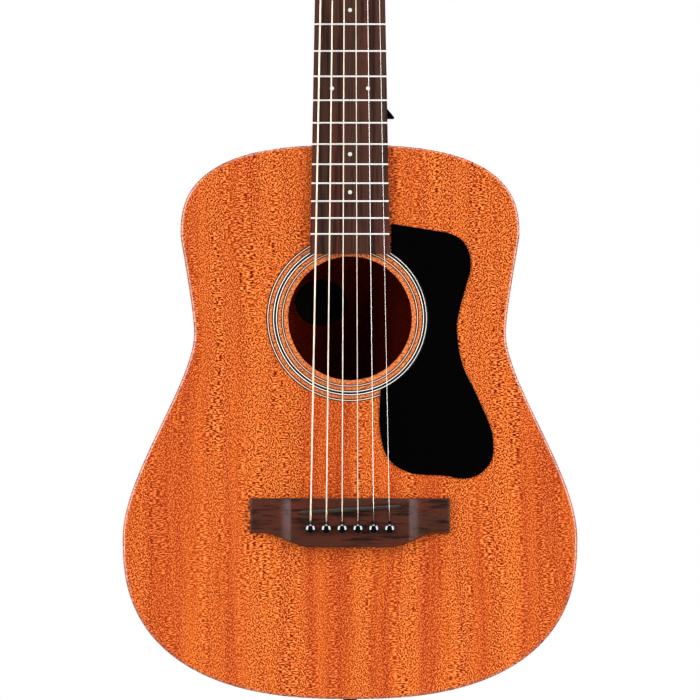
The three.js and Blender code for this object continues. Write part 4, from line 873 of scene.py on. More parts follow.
def headplate(sizes):
    """Headstock veneer: the headstock's outline a little inside its edge, as a plate on its face."""
    flare = np.linspace(GLUE_LINE, HEAD_FLARE, 25)
    drop, inset = np.array(round_over(HEAD_CORNER, 9)).T
    top = HEAD_LENGTH - GLUE_LINE - drop
    half = np.concatenate([head_half(flare), head_half(top) - inset]) - GLUE_LINE
    right = np.stack([half, np.concatenate([flare, top])], 1)
    outline = np.concatenate([right, right[::-1] * (-1, 1)])
    return plate(Form(), outline, 0, HEADPLATE_TOP, sizes.veneer_ease, in_head).piece(
        "headstock_veneer", ["rosewood_polished"], node="headplate")


def heel_cap(sizes):
    """Heel cap: half an oval as wide as the heel's foot, on the heel's flat end."""
    low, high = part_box("heel_cap")
    angle = np.linspace(0, math.pi, 41)
    along = low.z + (high.z - low.z) * np.abs(np.sin(angle)) ** HEEL_CAP_FULLNESS
    outline = np.stack([high.x * np.cos(angle), along], 1)
    return plate(Form(), outline, low.y, high.y, sizes.veneer_ease, on_back).piece(
        "heel_cap_veneer", ["rosewood_polished"], node="heel_cap")


def nut(sizes):
    """Nut: a copy of the CAD piece with its doubles merged, flat faces joined and edges bevelled."""
    shell = bmesh.new()
    shell.from_mesh(frame["nodes"]["nut"].data)
    bmesh.ops.remove_doubles(shell, verts=shell.verts, dist=1e-6)
    bmesh.ops.dissolve_limit(shell, angle_limit=math.radians(2), verts=shell.verts, edges=shell.edges)
    mesh = bpy.data.meshes.new("nut_eased")
    shell.to_mesh(mesh)
    shell.free()
    mesh.materials.clear()
    piece = finish_piece(mesh, "nut_eased", ["bone"], ROOT, "nut", 32)
    step = piece.modifiers.new("edges", "BEVEL")
    step.width = sizes.small_ease
    step.segments = 3
    step.limit_method = "ANGLE"
    step.angle_limit = math.radians(28)
    step.harden_normals = True
    return piece


# Strings

def string_kind(number):
    """The highest strings are plain wire, the others are wound."""
    return "plain_string" if number <= PLAIN_STRINGS else "wound_string"


def string_facts(number):
    """A string's place across at the nut and at any Z, its saddle place, and its undersides' heights over
    the soundboard at the nut and at the saddle."""
    nut_x, far_x = string_share(number) * NUT_SPREAD, string_share(number) * PIN_SPREAD
    x_at = lambda z: nut_x + (far_x - nut_x) * z / PIN_Z
    saddle_z = SADDLE_Z + x_at(SADDLE_Z) * math.tan(SADDLE_SLANT)
    nut_bottom = BOARD_THICKNESS + FRET_HEIGHT + ACTION_AT_NUT + camber(nut_x)
    saddle_bottom = BOARD_THICKNESS + ACTION_AT_SADDLE + camber(x_at(saddle_z))
    return nut_x, x_at, saddle_z, nut_bottom, saddle_bottom


def post_place(number):
    """Side, and place in the headstock, of the post of string number."""
    side = 1 if number <= STRINGS // 2 else -1
    rank = number - 1 if side > 0 else STRINGS - number
    return side, side * POST_ACROSS / 2, FIRST_POST + rank * POST_SPACING


def string_run(number):
    """In the headstock's frame, the string's bend behind the nut, the place where it meets its post, its
    direction, its distance from the post's axis and its heading in the face's plane."""
    radius = STRING_RADII[number - 1]
    nut_x, _, _, nut_bottom, _ = string_facts(number)
    side, x, y = post_place(number)
    height = nut_bottom + radius
    bend = np.array([nut_x, -height * math.sin(HEAD_ANGLE), height * math.cos(HEAD_ANGLE)])
    wrap = POST_RADIUS + TOUCH + radius
    away = np.array([x, y]) - bend[:2]
    reach = np.linalg.norm(away)
    aim = math.atan2(away[1], away[0]) + side * math.asin(wrap / reach)
    run = math.sqrt(reach ** 2 - wrap ** 2)
    meet = np.array([bend[0] + run * math.cos(aim), bend[1] + run * math.sin(aim), WINDING_LIFT + radius])
    return bend, meet, unit(meet - bend), wrap, aim


def guitar_string(number):
    """String: a tube from its ball under the bridge plate, up in front of the pin, over the saddle and the
    nut to its post, with short round bends."""
    radius = STRING_RADII[number - 1]
    nut_x, x_at, saddle_z, nut_bottom, saddle_bottom = string_facts(number)
    bend, meet, along, _, _ = string_run(number)
    stop = meet - along * (2 * radius + HOLE_SLACK)
    top = -BRIDGE_HEIGHT
    lifted = top - 2 * radius - TOUCH
    ball_top = UNDER_PLATE + HOLE_SLACK
    ball_end = ball_top + BALL_LENGTH
    ball = [(ball_end, 0.6), (ball_end - BALL_EDGE, 1), (ball_top + BALL_EDGE, 1), (ball_top, 0.6)]
    rise = [(UNDER_PLATE + TOUCH, 0), (0, 0), (top + 0.001, 0), (top - 0.2 * radius, 0.1),
            (lifted + 0.4 * radius, 0.6), (lifted - 0.1 * radius, 1.6)]
    x = x_at(STRING_Z_AT_HOLE)
    points = [(x, y, STRING_Z_AT_HOLE) for y, _ in ball]
    points += [(x, y, STRING_Z_AT_HOLE + radii * radius) for y, radii in rise]
    over = -(saddle_bottom + radius)
    points += [(x_at(saddle_z + step), over - (over - lifted) * share, saddle_z + step)
               for step, share in ((-0.003, 0.22), (-0.001, 0.02), (0, 0), (0.002, 0))]
    nut_y = -(nut_bottom + radius)
    points += [(nut_x + (x_at(saddle_z) - nut_x) * s, nut_y + (over - nut_y) * s, saddle_z * s)
               for s in np.linspace(0.98, 0.02, 25)]
    points += [(nut_x, nut_y, 0), *(tuple(in_head(*(bend + (stop - bend) * s))) for s in (0, 0.05, 0.5, 1))]
    path = np.array(points, float)
    radii = np.full(len(path), radius)
    radii[:len(ball)] = [BALL_RADIUS * share for _, share in ball]
    name = f"string_{number}"
    return tube(Form(), path, radii, 14, (1, 0, 0)).piece(name + "_wire", [string_kind(number)], node=name)


def winding(number):
    """The string's turns on its post: a helix that climbs by the string's thickness and a small gap in each
    turn, led in along the string and led out into the post's hole. Returns the height where it ends."""
    radius = STRING_RADII[number - 1]
    _, meet, along, wrap, aim = string_run(number)
    side, x, y = post_place(number)
    turn = np.linspace(0, WINDING_TURNS, 40 * WINDING_TURNS + 1)
    angle = aim + side * math.pi / 2 - side * 2 * math.pi * turn
    helix = np.column_stack([polar(wrap, angle, x, y), meet[2] + turn * (2 * radius + WINDING_GAP)])
    lead_out = (helix[-1] + (x, y, helix[-1, 2])) / 2
    path = np.concatenate([[meet - along * 2 * radius], helix, [lead_out]])
    form = tube(Form(), in_head(*path.T), np.full(len(path), radius), 12, in_head(0, 0, 1) - in_head(0, 0, 0))
    form.piece(f"string_{number}_winding", [string_kind(number)], body=f"tuner_post_{number}")
    return helix[-1, 2]


# Tuners

def tuner_post(number):
    """Post: a turned shaft with a waisted top and a cross hole, and the slotted screw that holds its gear."""
    string_end = winding(number)
    _, x, y = post_place(number)
    gear_top, gear_foot = WORM_HEIGHT + GEAR_THICKNESS / 2, WORM_HEIGHT - GEAR_THICKNESS / 2
    dome = [(POST_SCREW_RADIUS * math.cos(a), gear_foot - POST_SCREW_HEIGHT * math.sin(a))
            for a in np.linspace(math.pi / 2, 0, 7)[1:]]
    shoulder = PLATE_BOTTOM - HOLE_SLACK
    profile = [(0, gear_foot - POST_SCREW_HEIGHT), *dome, (POST_SCREW_RADIUS, gear_top),
               (COLLAR_RADIUS, gear_top), (COLLAR_RADIUS, shoulder), (POST_RADIUS, shoulder),
               (POST_RADIUS, WINDING_LIFT - 0.0008), (POST_RADIUS - POST_WAIST, WINDING_LIFT),
               (POST_RADIUS - POST_WAIST, string_end), (POST_RADIUS, string_end + 0.001),
               *rounded_corner(POST_RADIUS, POST_HEIGHT, POST_ROUND), (POST_DIMPLE_RADIUS, POST_HEIGHT),
               (0.0009, POST_HEIGHT - 0.0003), (0, POST_HEIGHT - POST_DIMPLE_DEPTH)]
    body = f"tuner_post_{number}"
    form = turned(Form(), profile, lambda a, b, h: in_head(x + a, y + b, h), 40)
    piece = form.piece(body + "_shaft", ["chrome"], body=body, node=body)
    hole_height = string_end + 0.0013 + STRING_RADII[number - 1]
    cutters = turned(Form(), [(0, -0.01), (POST_HOLE_RADIUS, -0.01), (POST_HOLE_RADIUS, 0.01), (0, 0.01)],
                     lambda a, b, h: in_head(x + h, y + a, hole_height + b), 16)
    slot = np.stack(spun(*POST_SCREW_SLOT.T, 0.5 * number), 1) + (x, y)
    plate(cutters, slot, gear_foot - 0.004, gear_foot - POST_SCREW_HEIGHT + POST_SCREW_SLOT_DEPTH, TOUCH / 4,
          in_head)
    cut_away(cutters, piece)
    return piece


def gear(number):
    """Gear: a toothed outline, root and crest joined by sloping flanks, carried through its thickness with
    a twist that leans the teeth as the worm's thread leans."""
    _, x, y = post_place(number)
    lean = GEAR_PITCH / (2 * math.pi * WORM_PITCH_RADIUS) / GEAR_PITCH_RADIUS
    crest, root = GEAR_PITCH_RADIUS + GEAR_CREST, GEAR_PITCH_RADIUS - GEAR_ROOT
    foot, tip = TOOTH_FOOT / 2 / root, TOOTH_TIP / 2 / crest
    gap = math.pi / GEAR_TEETH
    flank = [((foot + tip) / 2, (root + crest) / 2), (tip, crest - 0.0001), (tip * 0.7, crest)]
    tooth = np.array([
        (-foot, root), *((-angle, radius) for angle, radius in flank), *flank[::-1], (foot, root),
        ((foot + gap) / 2, root - 0.00012), (gap, root - 0.00016), ((3 * gap - foot) / 2, root - 0.00012)])
    angle = (np.arange(GEAR_TEETH)[:, None] * 2 * gap - math.pi / 2 + tooth[:, 0]).ravel()
    radius = np.tile(tooth[:, 1], GEAR_TEETH)
    half = GEAR_THICKNESS / 2
    height = np.array([-half, -half + GEAR_EASE, 0, half - GEAR_EASE, half])[:, None]
    r = radius - np.array([GEAR_EASE, 0, 0, 0, GEAR_EASE])[:, None]
    theta = angle + lean * height
    points = in_head(x + r * np.cos(theta), y + r * np.sin(theta), WORM_HEIGHT + height)
    body = f"tuner_post_{number}"
    return Form().surface(points, caps=True).piece(body + "_gear", ["nickel"], body=body, sharp=25)


def tuner_key(number):
    """Key: a shaft with a screw thread, whose trapezoid section is carried round and along the shaft, and
    an oval knob whose width and thickness swell and shrink along its length."""
    side, x, y = post_place(number)
    y -= WORM_REACH
    place = lambda along, across, out: in_head(x + side * along, y + side * across, WORM_HEIGHT + out)
    inner = -WORM_HALF - EAR_THICKNESS - 2 * HOLE_SLACK
    knob_start = HEAD_WIDTH_AT_TOP / 2 - POST_ACROSS / 2 + KNOB_GAP
    shaft, collar = KEY_SHAFT_RADIUS, KEY_SHAFT_RADIUS + KEY_COLLAR
    profile = [(0, inner), (shaft - SMALL_EDGE, inner), (shaft, inner + SMALL_EDGE),
               (shaft, knob_start - 0.0016), (collar, knob_start - 0.0012),
               (collar, knob_start - 0.0002), (shaft, knob_start), (0, knob_start)]
    form = turned(Form(), profile, lambda a, b, h: place(h, a, b))
    turn = np.linspace(-0.5, 0.5, 121) * (WORM_TURNS - TOOTH_SHARE / CREST_SHARE)
    angle = 2 * math.pi * turn - (math.pi if side > 0 else 0)
    core, crest = WORM_CORE_RADIUS - TOUCH, WORM_CREST_RADIUS
    section = [(-TOOTH_FOOT / 2, core), (-TOOTH_TIP / 2, crest - 0.0001), (-TOOTH_TIP / 3, crest),
               (TOOTH_TIP / 3, crest), (TOOTH_TIP / 2, crest - 0.0001), (TOOTH_FOOT / 2, core)]
    form.surface(np.stack([place(turn * GEAR_PITCH + offset, r * np.cos(angle), r * np.sin(angle))
                           for offset, r in section], 1), caps=True)
    body = f"tuner_key_{number}"
    form.piece(body + "_worm", ["nickel"], body=body, node=body)
    along, wide, thick = smooth_curve(KNOB_SHARES, 6).T[:, :, None]
    theta = around(40)
    points = place(knob_start + along * KNOB_LENGTH, wide * KNOB_WIDTH / 2 * np.cos(theta),
                   thick * KNOB_THICKNESS / 2 * np.sin(theta))
    return Form().surface(points, caps=True).piece(body + "_knob", ["chrome"], body=body, sharp=50)


def screw(form, place, radius, height):
    """Round-headed screw: a low dome with a round recess."""
    dome = [(radius, 0), (radius, height * 0.25)]
    dome += [(radius * math.cos(a), height * (0.25 + 0.75 * math.sin(a))) for a in np.linspace(0.2, 1.2, 5)]
    recess = [(radius * 0.3, height * 0.96), (radius * 0.18, height * 0.45), (0, height * 0.4)]
    return turned(form, [(0, 0), *dome, *recess], place, 24)


def tuner_plate(name, side, sizes):
    """Tuner plate: a long plate with rounded corners, two bearing ears for each key, and four screws."""
    x = side * POST_ACROSS / 2
    low = FIRST_POST - WORM_REACH - PLATE_END + EAR_WIDTH / 2
    high = FIRST_POST + 2 * POST_SPACING + PLATE_END
    reach = PLATE_WIDTH / 2 - PLATE_CORNER
    corners = ((reach, high - PLATE_CORNER), (-reach, high - PLATE_CORNER), (-reach, low + PLATE_CORNER),
               (reach, low + PLATE_CORNER))
    quarter = np.linspace(0, math.pi / 2, 9)
    outline = np.concatenate([polar(PLATE_CORNER, quarter + turn * math.pi / 2, x + across, along)
                              for turn, (across, along) in enumerate(corners)])
    form = plate(Form(), outline, -PLATE_TOP, -PLATE_BOTTOM, sizes.plate_ease,
                 lambda a, b, h: in_head(a, b, -h))
    lip = KEY_SHAFT_RADIUS + EAR_THICKNESS
    root = -(PLATE_BOTTOM + PLATE_THICKNESS / 2)
    bow = np.linspace(0, math.pi, 17)
    for rank in range(STRINGS // 2):
        y = FIRST_POST + rank * POST_SPACING - WORM_REACH
        arch = np.stack([y + EAR_WIDTH / 2 * np.cos(bow), -WORM_HEIGHT + lip * np.sin(bow)], 1)
        ear = np.concatenate([[[y + EAR_WIDTH / 2, root]], arch, [[y - EAR_WIDTH / 2, root]]])
        for start in (-WORM_HALF - HOLE_SLACK - EAR_THICKNESS, WORM_HALF + HOLE_SLACK):
            plate(form, ear, x + start, x + start + EAR_THICKNESS, SMALL_EDGE,
                  lambda a, b, h: in_head(h, a, -b), back_ease=SMALL_EDGE)
    form.piece(name + "_pressed", ["chrome"], node=name)
    screws = Form()
    between = [FIRST_POST + (rank + PLATE_SCREW_SHARE) * POST_SPACING for rank in range(2)]
    for y in [low + PLATE_SCREW_INSET, high - PLATE_SCREW_INSET] + between:
        screw(screws, lambda a, b, h: in_head(x + a, y + b, PLATE_BOTTOM - h),
              PLATE_SCREW_RADIUS, PLATE_SCREW_HEIGHT)
    return screws.piece(name + "_screws", ["nickel"], slot="chrome")


def ferrules():
    """Ferrules: flanged rings round the posts, on the headstock's face."""
    form = Form()
    inner, top = POST_RADIUS + HOLE_SLACK / 2, HEADPLATE_TOP + FERRULE_HEIGHT
    profile = [(inner, HEADPLATE_TOP - 0.001), (FERRULE_RADIUS, HEADPLATE_TOP - 0.001),
               *rounded_corner(FERRULE_RADIUS, top, FERRULE_ROUND),
               (inner + 0.0006, top), (inner, top - 0.0005)]
    radius, height = np.array(profile).T[:, :, None]
    angle = around(40)
    for number in NUMBERS:
        _, x, y = post_place(number)
        form.surface(in_head(x + radius * np.cos(angle), y + radius * np.sin(angle), height), close_rows=True)
    return form.piece("ferrules", ["chrome"], slot="chrome")


# Strap button and end pin

def strap_holder(name, node, origin, axis, radii, stem):
    """Strap button: a base, a hollow waist and a round rim, turned about its own axis, with a screw."""
    side = unit(np.cross(axis, (0, 1, 0)))
    up = np.cross(axis, side)
    place = lambda a, b, h: (origin + np.multiply.outer(a, side) + np.multiply.outer(b, up)
                             + np.multiply.outer(h, axis))
    base, waist, rim = radii
    knots = np.array([(base, 0), (base, 0.16), (base * 0.97, 0.22), (waist, 0.44), (waist, 0.58),
                      (rim * 0.93, 0.82), (rim, 0.9), (rim, 0.94), (rim - STRAP_RIM_EDGE, 0.995),
                      (rim * 0.6, 1)])
    curve = smooth_curve(knots * (1, STRAP_LENGTH), 5)
    curve = np.clip(curve, 0, (rim, STRAP_LENGTH))
    dish = STRAP_LENGTH - STRAP_RIM_EDGE
    profile = [(0, -stem), (waist * 0.6, -stem), (waist * 0.6, 0), *curve.tolist(),
               (rim * 0.42, STRAP_LENGTH), (rim * 0.38, dish), (0, dish)]
    turned(Form(), profile, place, 48).piece(name, ["black_plastic"], node=node)
    head = screw(Form(), lambda a, b, h: place(a, b, h + STRAP_LENGTH - 0.0009), rim * 0.36, 0.0008)
    return head.piece(name + "_screw", ["nickel"], slot="steel")


def strap_holders():
    """The strap button on the heel and the end pin in the tail, on their CAD seats."""
    mounts = {mount["name"]: mount for mount in frame["record"]["mounts"]}
    axis = np.array([math.cos(STRAP_LEAN), 0, math.sin(STRAP_LEAN)])
    foot = mounts["strap_button_face"]["pos_m"] - axis * STRAP_LENGTH
    strap_holder("strap_button_turned", "strap_button", foot, axis, STRAP_BUTTON_RADII, STRAP_BUTTON_STEM)
    low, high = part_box("end_pin")
    foot = np.array([0, (low.y + high.y) / 2, low.z + STRAP_LENGTH])
    strap_holder("end_pin_turned", "end_pin", foot, np.array([0, 0, -1.0]), END_PIN_RADII, END_PIN_STEM)


# Finishes


class Nodes:
    """Short names for the nodes of one shader tree. Where a value is another node's output it is linked,
    and otherwise it is set."""

    def __init__(self, tree):
        self.tree = tree

    def feed(self, node, sockets):
        """Links or sets a node's inputs, by their names or numbers."""
        for key, value in sockets.items():
            if isinstance(value, bpy.types.NodeSocket):
                self.tree.links.new(value, node.inputs[key])
            else:
                node.inputs[key].default_value = value
        return node

    def add(self, kind, sockets=None, **settings):
        """A new shader node of that kind, with its settings and its inputs."""
        node = self.tree.nodes.new("ShaderNode" + kind)
        for key, value in settings.items():
            setattr(node, key, value)
        return self.feed(node, sockets or {})

    def math(self, operation, a, b=0.0, clamp=False):
        return self.add("Math", {0: a, 1: b}, operation=operation, use_clamp=clamp).outputs[0]

    def plus(self, a, b):
        return self.math("ADD", a, b)

    def minus(self, a, b):
        return self.math("SUBTRACT", a, b)

    def times(self, a, b, clamp=False):
        return self.math("MULTIPLY", a, b, clamp)

    def vector(self, operation, a, b=(0, 0, 0), output="Vector"):
        return self.add("VectorMath", {0: a, 1: b}, operation=operation).outputs[output]

    def stretch(self, vector, *factors):
        """The vector times a number per axis."""
        return self.vector("MULTIPLY", vector, factors)

    def noise(self, vector, scale=1.0, detail=2.0, roughness=0.5):
        return self.add("TexNoise", {"Vector": vector, "Scale": scale, "Detail": detail,
                                     "Roughness": roughness}).outputs["Fac"]

    def spread(self, value, low, high):
        """The value moved and stretched so that low becomes 0 and high becomes 1, with smooth ends."""
        return self.add("MapRange", {"Value": value, "From Min": low, "From Max": high},
                        interpolation_type="SMOOTHSTEP").outputs["Result"]

    def blend(self, factor, a, b, mode="MIX"):
        """The colour a at factor 0, and b, or b laid over a by the blend mode, at factor 1."""
        return self.add("Mix", {0: factor, 6: a, 7: b}, data_type="RGBA", blend_type=mode).outputs[2]

    def parts(self, vector):
        return self.add("SeparateXYZ", {0: vector}).outputs

    def object_place(self):
        """The place on the piece, in metres of the frame."""
        return self.add("TexCoord").outputs["Object"]

    def run(self):
        """Distance along the piece, from its own UV map."""
        return self.parts(self.add("UVMap", uv_map="along").outputs[0])[0]


def ribbon_wood(n, given):
    """Ribbon-figured mahogany: broad and narrow ribbons along the grain, short open pores, denser towards
    the neck, and small bright flecks that stand in some ribbons as rungs. The vector is (across, through,
    along) in metres."""
    vector = given["Vector"]
    drift = n.noise(n.stretch(vector, 9, 9, 5))
    sway = n.add("CombineXYZ", {0: n.times(n.minus(drift, 0.5), 0.03)}).outputs[0]
    bent = n.vector("ADD", vector, sway)
    broad = n.spread(n.noise(n.stretch(bent, 62, 62, 2.6)), 0.38, 0.62)
    narrow = n.spread(n.noise(n.stretch(bent, 200, 120, 5)), 0.36, 0.64)
    wide = n.spread(n.noise(n.stretch(bent, 34, 34, 1.3), detail=1), 0.4, 0.6)
    ribbon = n.plus(n.plus(n.times(broad, 0.4), n.times(narrow, 0.3)), n.times(wide, 0.3))
    base = n.blend(ribbon, given["Light"], given["Red"])
    fine = n.stretch(bent, 1050, 1050, 840)
    skew = n.add("Mapping", {"Vector": fine, "Rotation": (0.0, 0.62, 0.0)}).outputs[0]
    grains = n.noise(skew, roughness=0.6)
    rungs = n.noise(n.stretch(bent, 420, 420, 1150), detail=1)
    where = n.spread(n.noise(n.stretch(bent, 110, 60, 9), detail=1), 0.5, 0.6)
    fleck = n.add("Mix", {0: where, 2: grains, 3: rungs}).outputs[0]
    calm = n.minus(1.08, n.times(wide, 0.4))
    upper = n.plus(n.times(n.spread(n.parts(vector)[2], -0.62, -0.4), 0.28), 1.0)
    strength = n.times(calm, n.times(upper, given["Pores"]), clamp=True)
    dark = n.times(n.spread(fleck, 0.53, 0.41), strength)
    bright = n.times(n.spread(fleck, 0.5, 0.6), strength)
    colour = n.blend(bright, n.blend(dark, base, given["Pore"]), given["Fleck"])
    return colour, n.minus(1.0, dark), n.plus(n.times(dark, 0.2), 0.42)


def streaked_wood(n, given):
    """Rosewood: long dark and reddish streaks along the grain and fine open pores between them."""
    vector = given["Vector"]
    streaks = n.noise(n.stretch(vector, 210, 210, 7), detail=4, roughness=0.6)
    wide = n.noise(n.stretch(vector, 60, 60, 4))
    pore = n.spread(n.noise(n.stretch(vector, 1900, 1900, 90)), 0.46, 0.34)
    base = n.blend(n.spread(wide, 0.38, 0.62), given["Brown"], given["Red"])
    base = n.blend(n.times(n.spread(streaks, 0.53, 0.38), 0.9), base, given["Dark"])
    colour = n.blend(n.times(pore, 0.55), base, given["Dark"])
    return colour, n.minus(1.0, pore), n.plus(given["Gloss"], n.times(pore, 0.25))


def handling_marks(n, given):
    """Wear of a hard, smooth surface: faint smears and hair-fine scratches in the gloss, and a slight
    change of tone."""
    vector = given["Vector"]
    smears = n.noise(n.stretch(vector, 45, 45, 45), detail=4, roughness=0.6)
    scratches = n.noise(n.stretch(vector, 900, 900, 40), detail=3, roughness=0.7)
    marks = n.times(n.plus(smears, n.times(scratches, 0.5)), given["Marks"])
    shade = n.times(n.spread(smears, 0.35, 0.65), given["Tone"])
    darker = n.blend(1.0, given["Colour"], (0.6, 0.6, 0.6, 1), "MULTIPLY")
    return n.blend(shade, given["Colour"], darker), scratches, n.plus(given["Gloss"], marks)


def grown_material(n, given):
    """Bone, pearl and paper: soft clouds between two tones and fine streaks along the piece."""
    vector = given["Vector"]
    clouds = n.noise(vector, given["Cloud size"], detail=4, roughness=0.6)
    streaks = n.noise(n.stretch(vector, 1500, 600, 3000))
    colour = n.blend(n.times(n.spread(clouds, 0.35, 0.7), 0.7), given["Pale"], given["Warm"])
    return colour, streaks, n.plus(n.times(streaks, 0.15), 0.28)


# Each shared effect's function, and the names of its colours and of its numbers
EFFECTS = {
    "ribbon wood": (ribbon_wood, ("Light", "Red", "Pore", "Fleck"), ("Pores",)),
    "streaked wood": (streaked_wood, ("Brown", "Red", "Dark"), ("Gloss",)),
    "handling marks": (handling_marks, ("Colour",), ("Gloss", "Marks", "Tone")),
    "grown material": (grown_material, ("Pale", "Warm"), ("Cloud size",)),
}

# Each finish: its shared effect, that effect's colours (a property's name, or sRGB from 0 to 255) and
# numbers, and what else shaded() is told
TOP = ("mahogany_light", "mahogany_red", "mahogany_pore", "mahogany_fleck")
RINGED = ((232, 142, 86), (196, 98, 58), (140, 56, 22), "mahogany_fleck")
# INSIDE and INSIDE_BACK are wood tones darker than the wood's own colour: painted shade for the dim inside of
# the body seen through the sound hole
BODY = ("body_light", "body_red", "body_pore", "body_light")
INSIDE = ((84, 30, 18), (60, 18, 10), (44, 14, 8), (90, 34, 20))
INSIDE_BACK = ((156, 44, 20), (128, 31, 11), (96, 22, 8), (164, 52, 24))
BOARD = ("rosewood_brown", "rosewood_red", "rosewood_dark")
BRIDGE = ("bridge_brown", "bridge_red", "bridge_dark")
TOP_LOOK = dict(bump=0.15, shine=0.03, coat=(0.08, 0.15))
BODY_LOOK = dict(bump=0.25, shine=0.2, coat=(0.1, 0.25), scale=(1.3, 1.3, 0.3))
BRIDGE_LOOK = dict(bump=0.35, shine=0.3, turn=(0, math.pi / 2, 0), scale=(4.5, 1, 1.4))
BLACK_LOOK = dict(bump=0.02, relief=0.00002)
GROWN_LOOK = dict(bump=0.1, relief=0.00003, shine=0.4)
VENEER_LOOK = dict(bump=0.05, relief=0.00003, shine=0.3)
METAL_LOOK = dict(bump=0.03, relief=0.00002, metal=1.0)
FINISHES = {
    "mahogany": ("ribbon wood", TOP, (0.9,), TOP_LOOK),
    "mahogany_ringed": ("ribbon wood", RINGED, (0.9,), TOP_LOOK),
    "mahogany_edge": ("ribbon wood", TOP, (0.9,), dict(bump=0.05, shine=1.0, coat=(1.0, 0.12))),
    "mahogany_back": ("ribbon wood", BODY, (0.7,), BODY_LOOK),
    "mahogany_neck": ("ribbon wood", BODY, (0.7,), BODY_LOOK),
    "mahogany_side": ("ribbon wood", BODY, (0.7,), dict(BODY_LOOK, along=True)),
    "inside_wood": ("ribbon wood", INSIDE, (0.4,), dict(bump=0.3, shine=0.05)),
    "inside_back": ("ribbon wood", INSIDE_BACK, (0.4,), dict(bump=0.3, shine=0.0)),
    "rosewood": ("streaked wood", BOARD, (0.5,), dict(bump=0.35, shine=0.12)),
    "rosewood_polished": ("streaked wood", BOARD, (0.22,), dict(bump=0.15, shine=0.3, coat=(0.3, 0.1))),
    "rosewood_bridge": ("streaked wood", BRIDGE, (0.36,), BRIDGE_LOOK),
    "black_sheet": ("handling marks", ("black",), (0.1, 0.06, 0.2), dict(BLACK_LOOK, shine=0.1)),
    "black_pin": ("handling marks", ("black",), (0.02, 0.06, 0.2),
                  dict(BLACK_LOOK, shine=1.0, coat=(1.0, 0.03), coat_ior=2.0)),
    "black_plastic": ("handling marks", ("black",), (0.3, 0.06, 0.2), dict(BLACK_LOOK, shine=0.02)),
    "grey_bone": ("grown material", ("saddle_grey", (40, 30, 24)), (260.0,), GROWN_LOOK),
    "bone": ("grown material", ("nut_bone", (206, 190, 155)), (180.0,), GROWN_LOOK),
    "pearl": ("grown material", ((236, 232, 224), (196, 204, 206)), (900.0,), GROWN_LOOK),
    "label_paper": ("grown material", ((24, 17, 15), (34, 25, 21)), (400.0,),
                    dict(bump=0.2, relief=0.00003, shine=0.1)),
    "veneer_dark": ("handling marks", ((16, 3, 2),), (0.35, 0.1, 0.35), VENEER_LOOK),
    "veneer_pale": ("handling marks", ((255, 246, 236),), (0.35, 0.1, 0.35), VENEER_LOOK),
    "veneer_black": ("handling marks", ((2, 2, 3),), (0.35, 0.1, 0.35), VENEER_LOOK),
    "veneer_rosy": ("handling marks", ((255, 214, 192),), (0.35, 0.1, 0.35), VENEER_LOOK),
    "dot_rim": ("handling marks", ((26, 16, 14),), (0.35, 0.1, 0.35), VENEER_LOOK),
    "plain_string": ("handling marks", ((255, 252, 248),), (0.24, 0.02, 0.08), dict(metal=1.0)),
    "wound_string": ("handling marks", ("bronze",), (0.28, 0.1, 0.3), dict(metal=1.0, rings=True)),
    # fret_wire is near-white and mostly diffuse (metallic 0.2): painted highlight standing in for the bright
    # reflections of the metal frets
    "fret_wire": ("handling marks", ((255, 253, 250),), (0.42, 0.05, 0.08), dict(METAL_LOOK, metal=0.2)),
    "chrome": ("handling marks", ((210, 211, 214),), (0.05, 0.08, 0.08), METAL_LOOK),
    "nickel": ("handling marks", ((188, 184, 176),), (0.18, 0.14, 0.08), METAL_LOOK),
    "steel": ("handling marks", ((170, 170, 170),), (0.3, 0.15, 0.08), METAL_LOOK),
}
WINDING_PITCH = 0.0004
WINDING_RELIEF = 0.00004


def shared_group(name):
    """The shader node group of one shared effect, built on first use."""
    if name in bpy.data.node_groups:
        return bpy.data.node_groups[name]
    build, colours, numbers = EFFECTS[name]
    tree = bpy.data.node_groups.new(name, "ShaderNodeTree")
    inputs = [("Vector", "Vector")]
    inputs += [(title, "Color") for title in colours] + [(title, "Float") for title in numbers]
    outputs = (("Colour", "Color"), ("Height", "Float"), ("Roughness", "Float"))
    for way, sockets in (("INPUT", inputs), ("OUTPUT", outputs)):
        for title, kind in sockets:
            tree.interface.new_socket(title, in_out=way, socket_type="NodeSocket" + kind)
    start, end = tree.nodes.new("NodeGroupInput"), tree.nodes.new("NodeGroupOutput")
    for number, output in enumerate(build(Nodes(tree), start.outputs)):
        tree.links.new(output, end.inputs[number])
    return tree


def linear(colour):
    """An sRGB colour, 0 to 255, as the linear values that the shader takes."""
    share = np.array(colour, float) / 255
    value = np.where(share <= 0.04045, share / 12.92, ((share + 0.055) / 1.055) ** 2.4)
    return (*value.tolist(), 1.0)


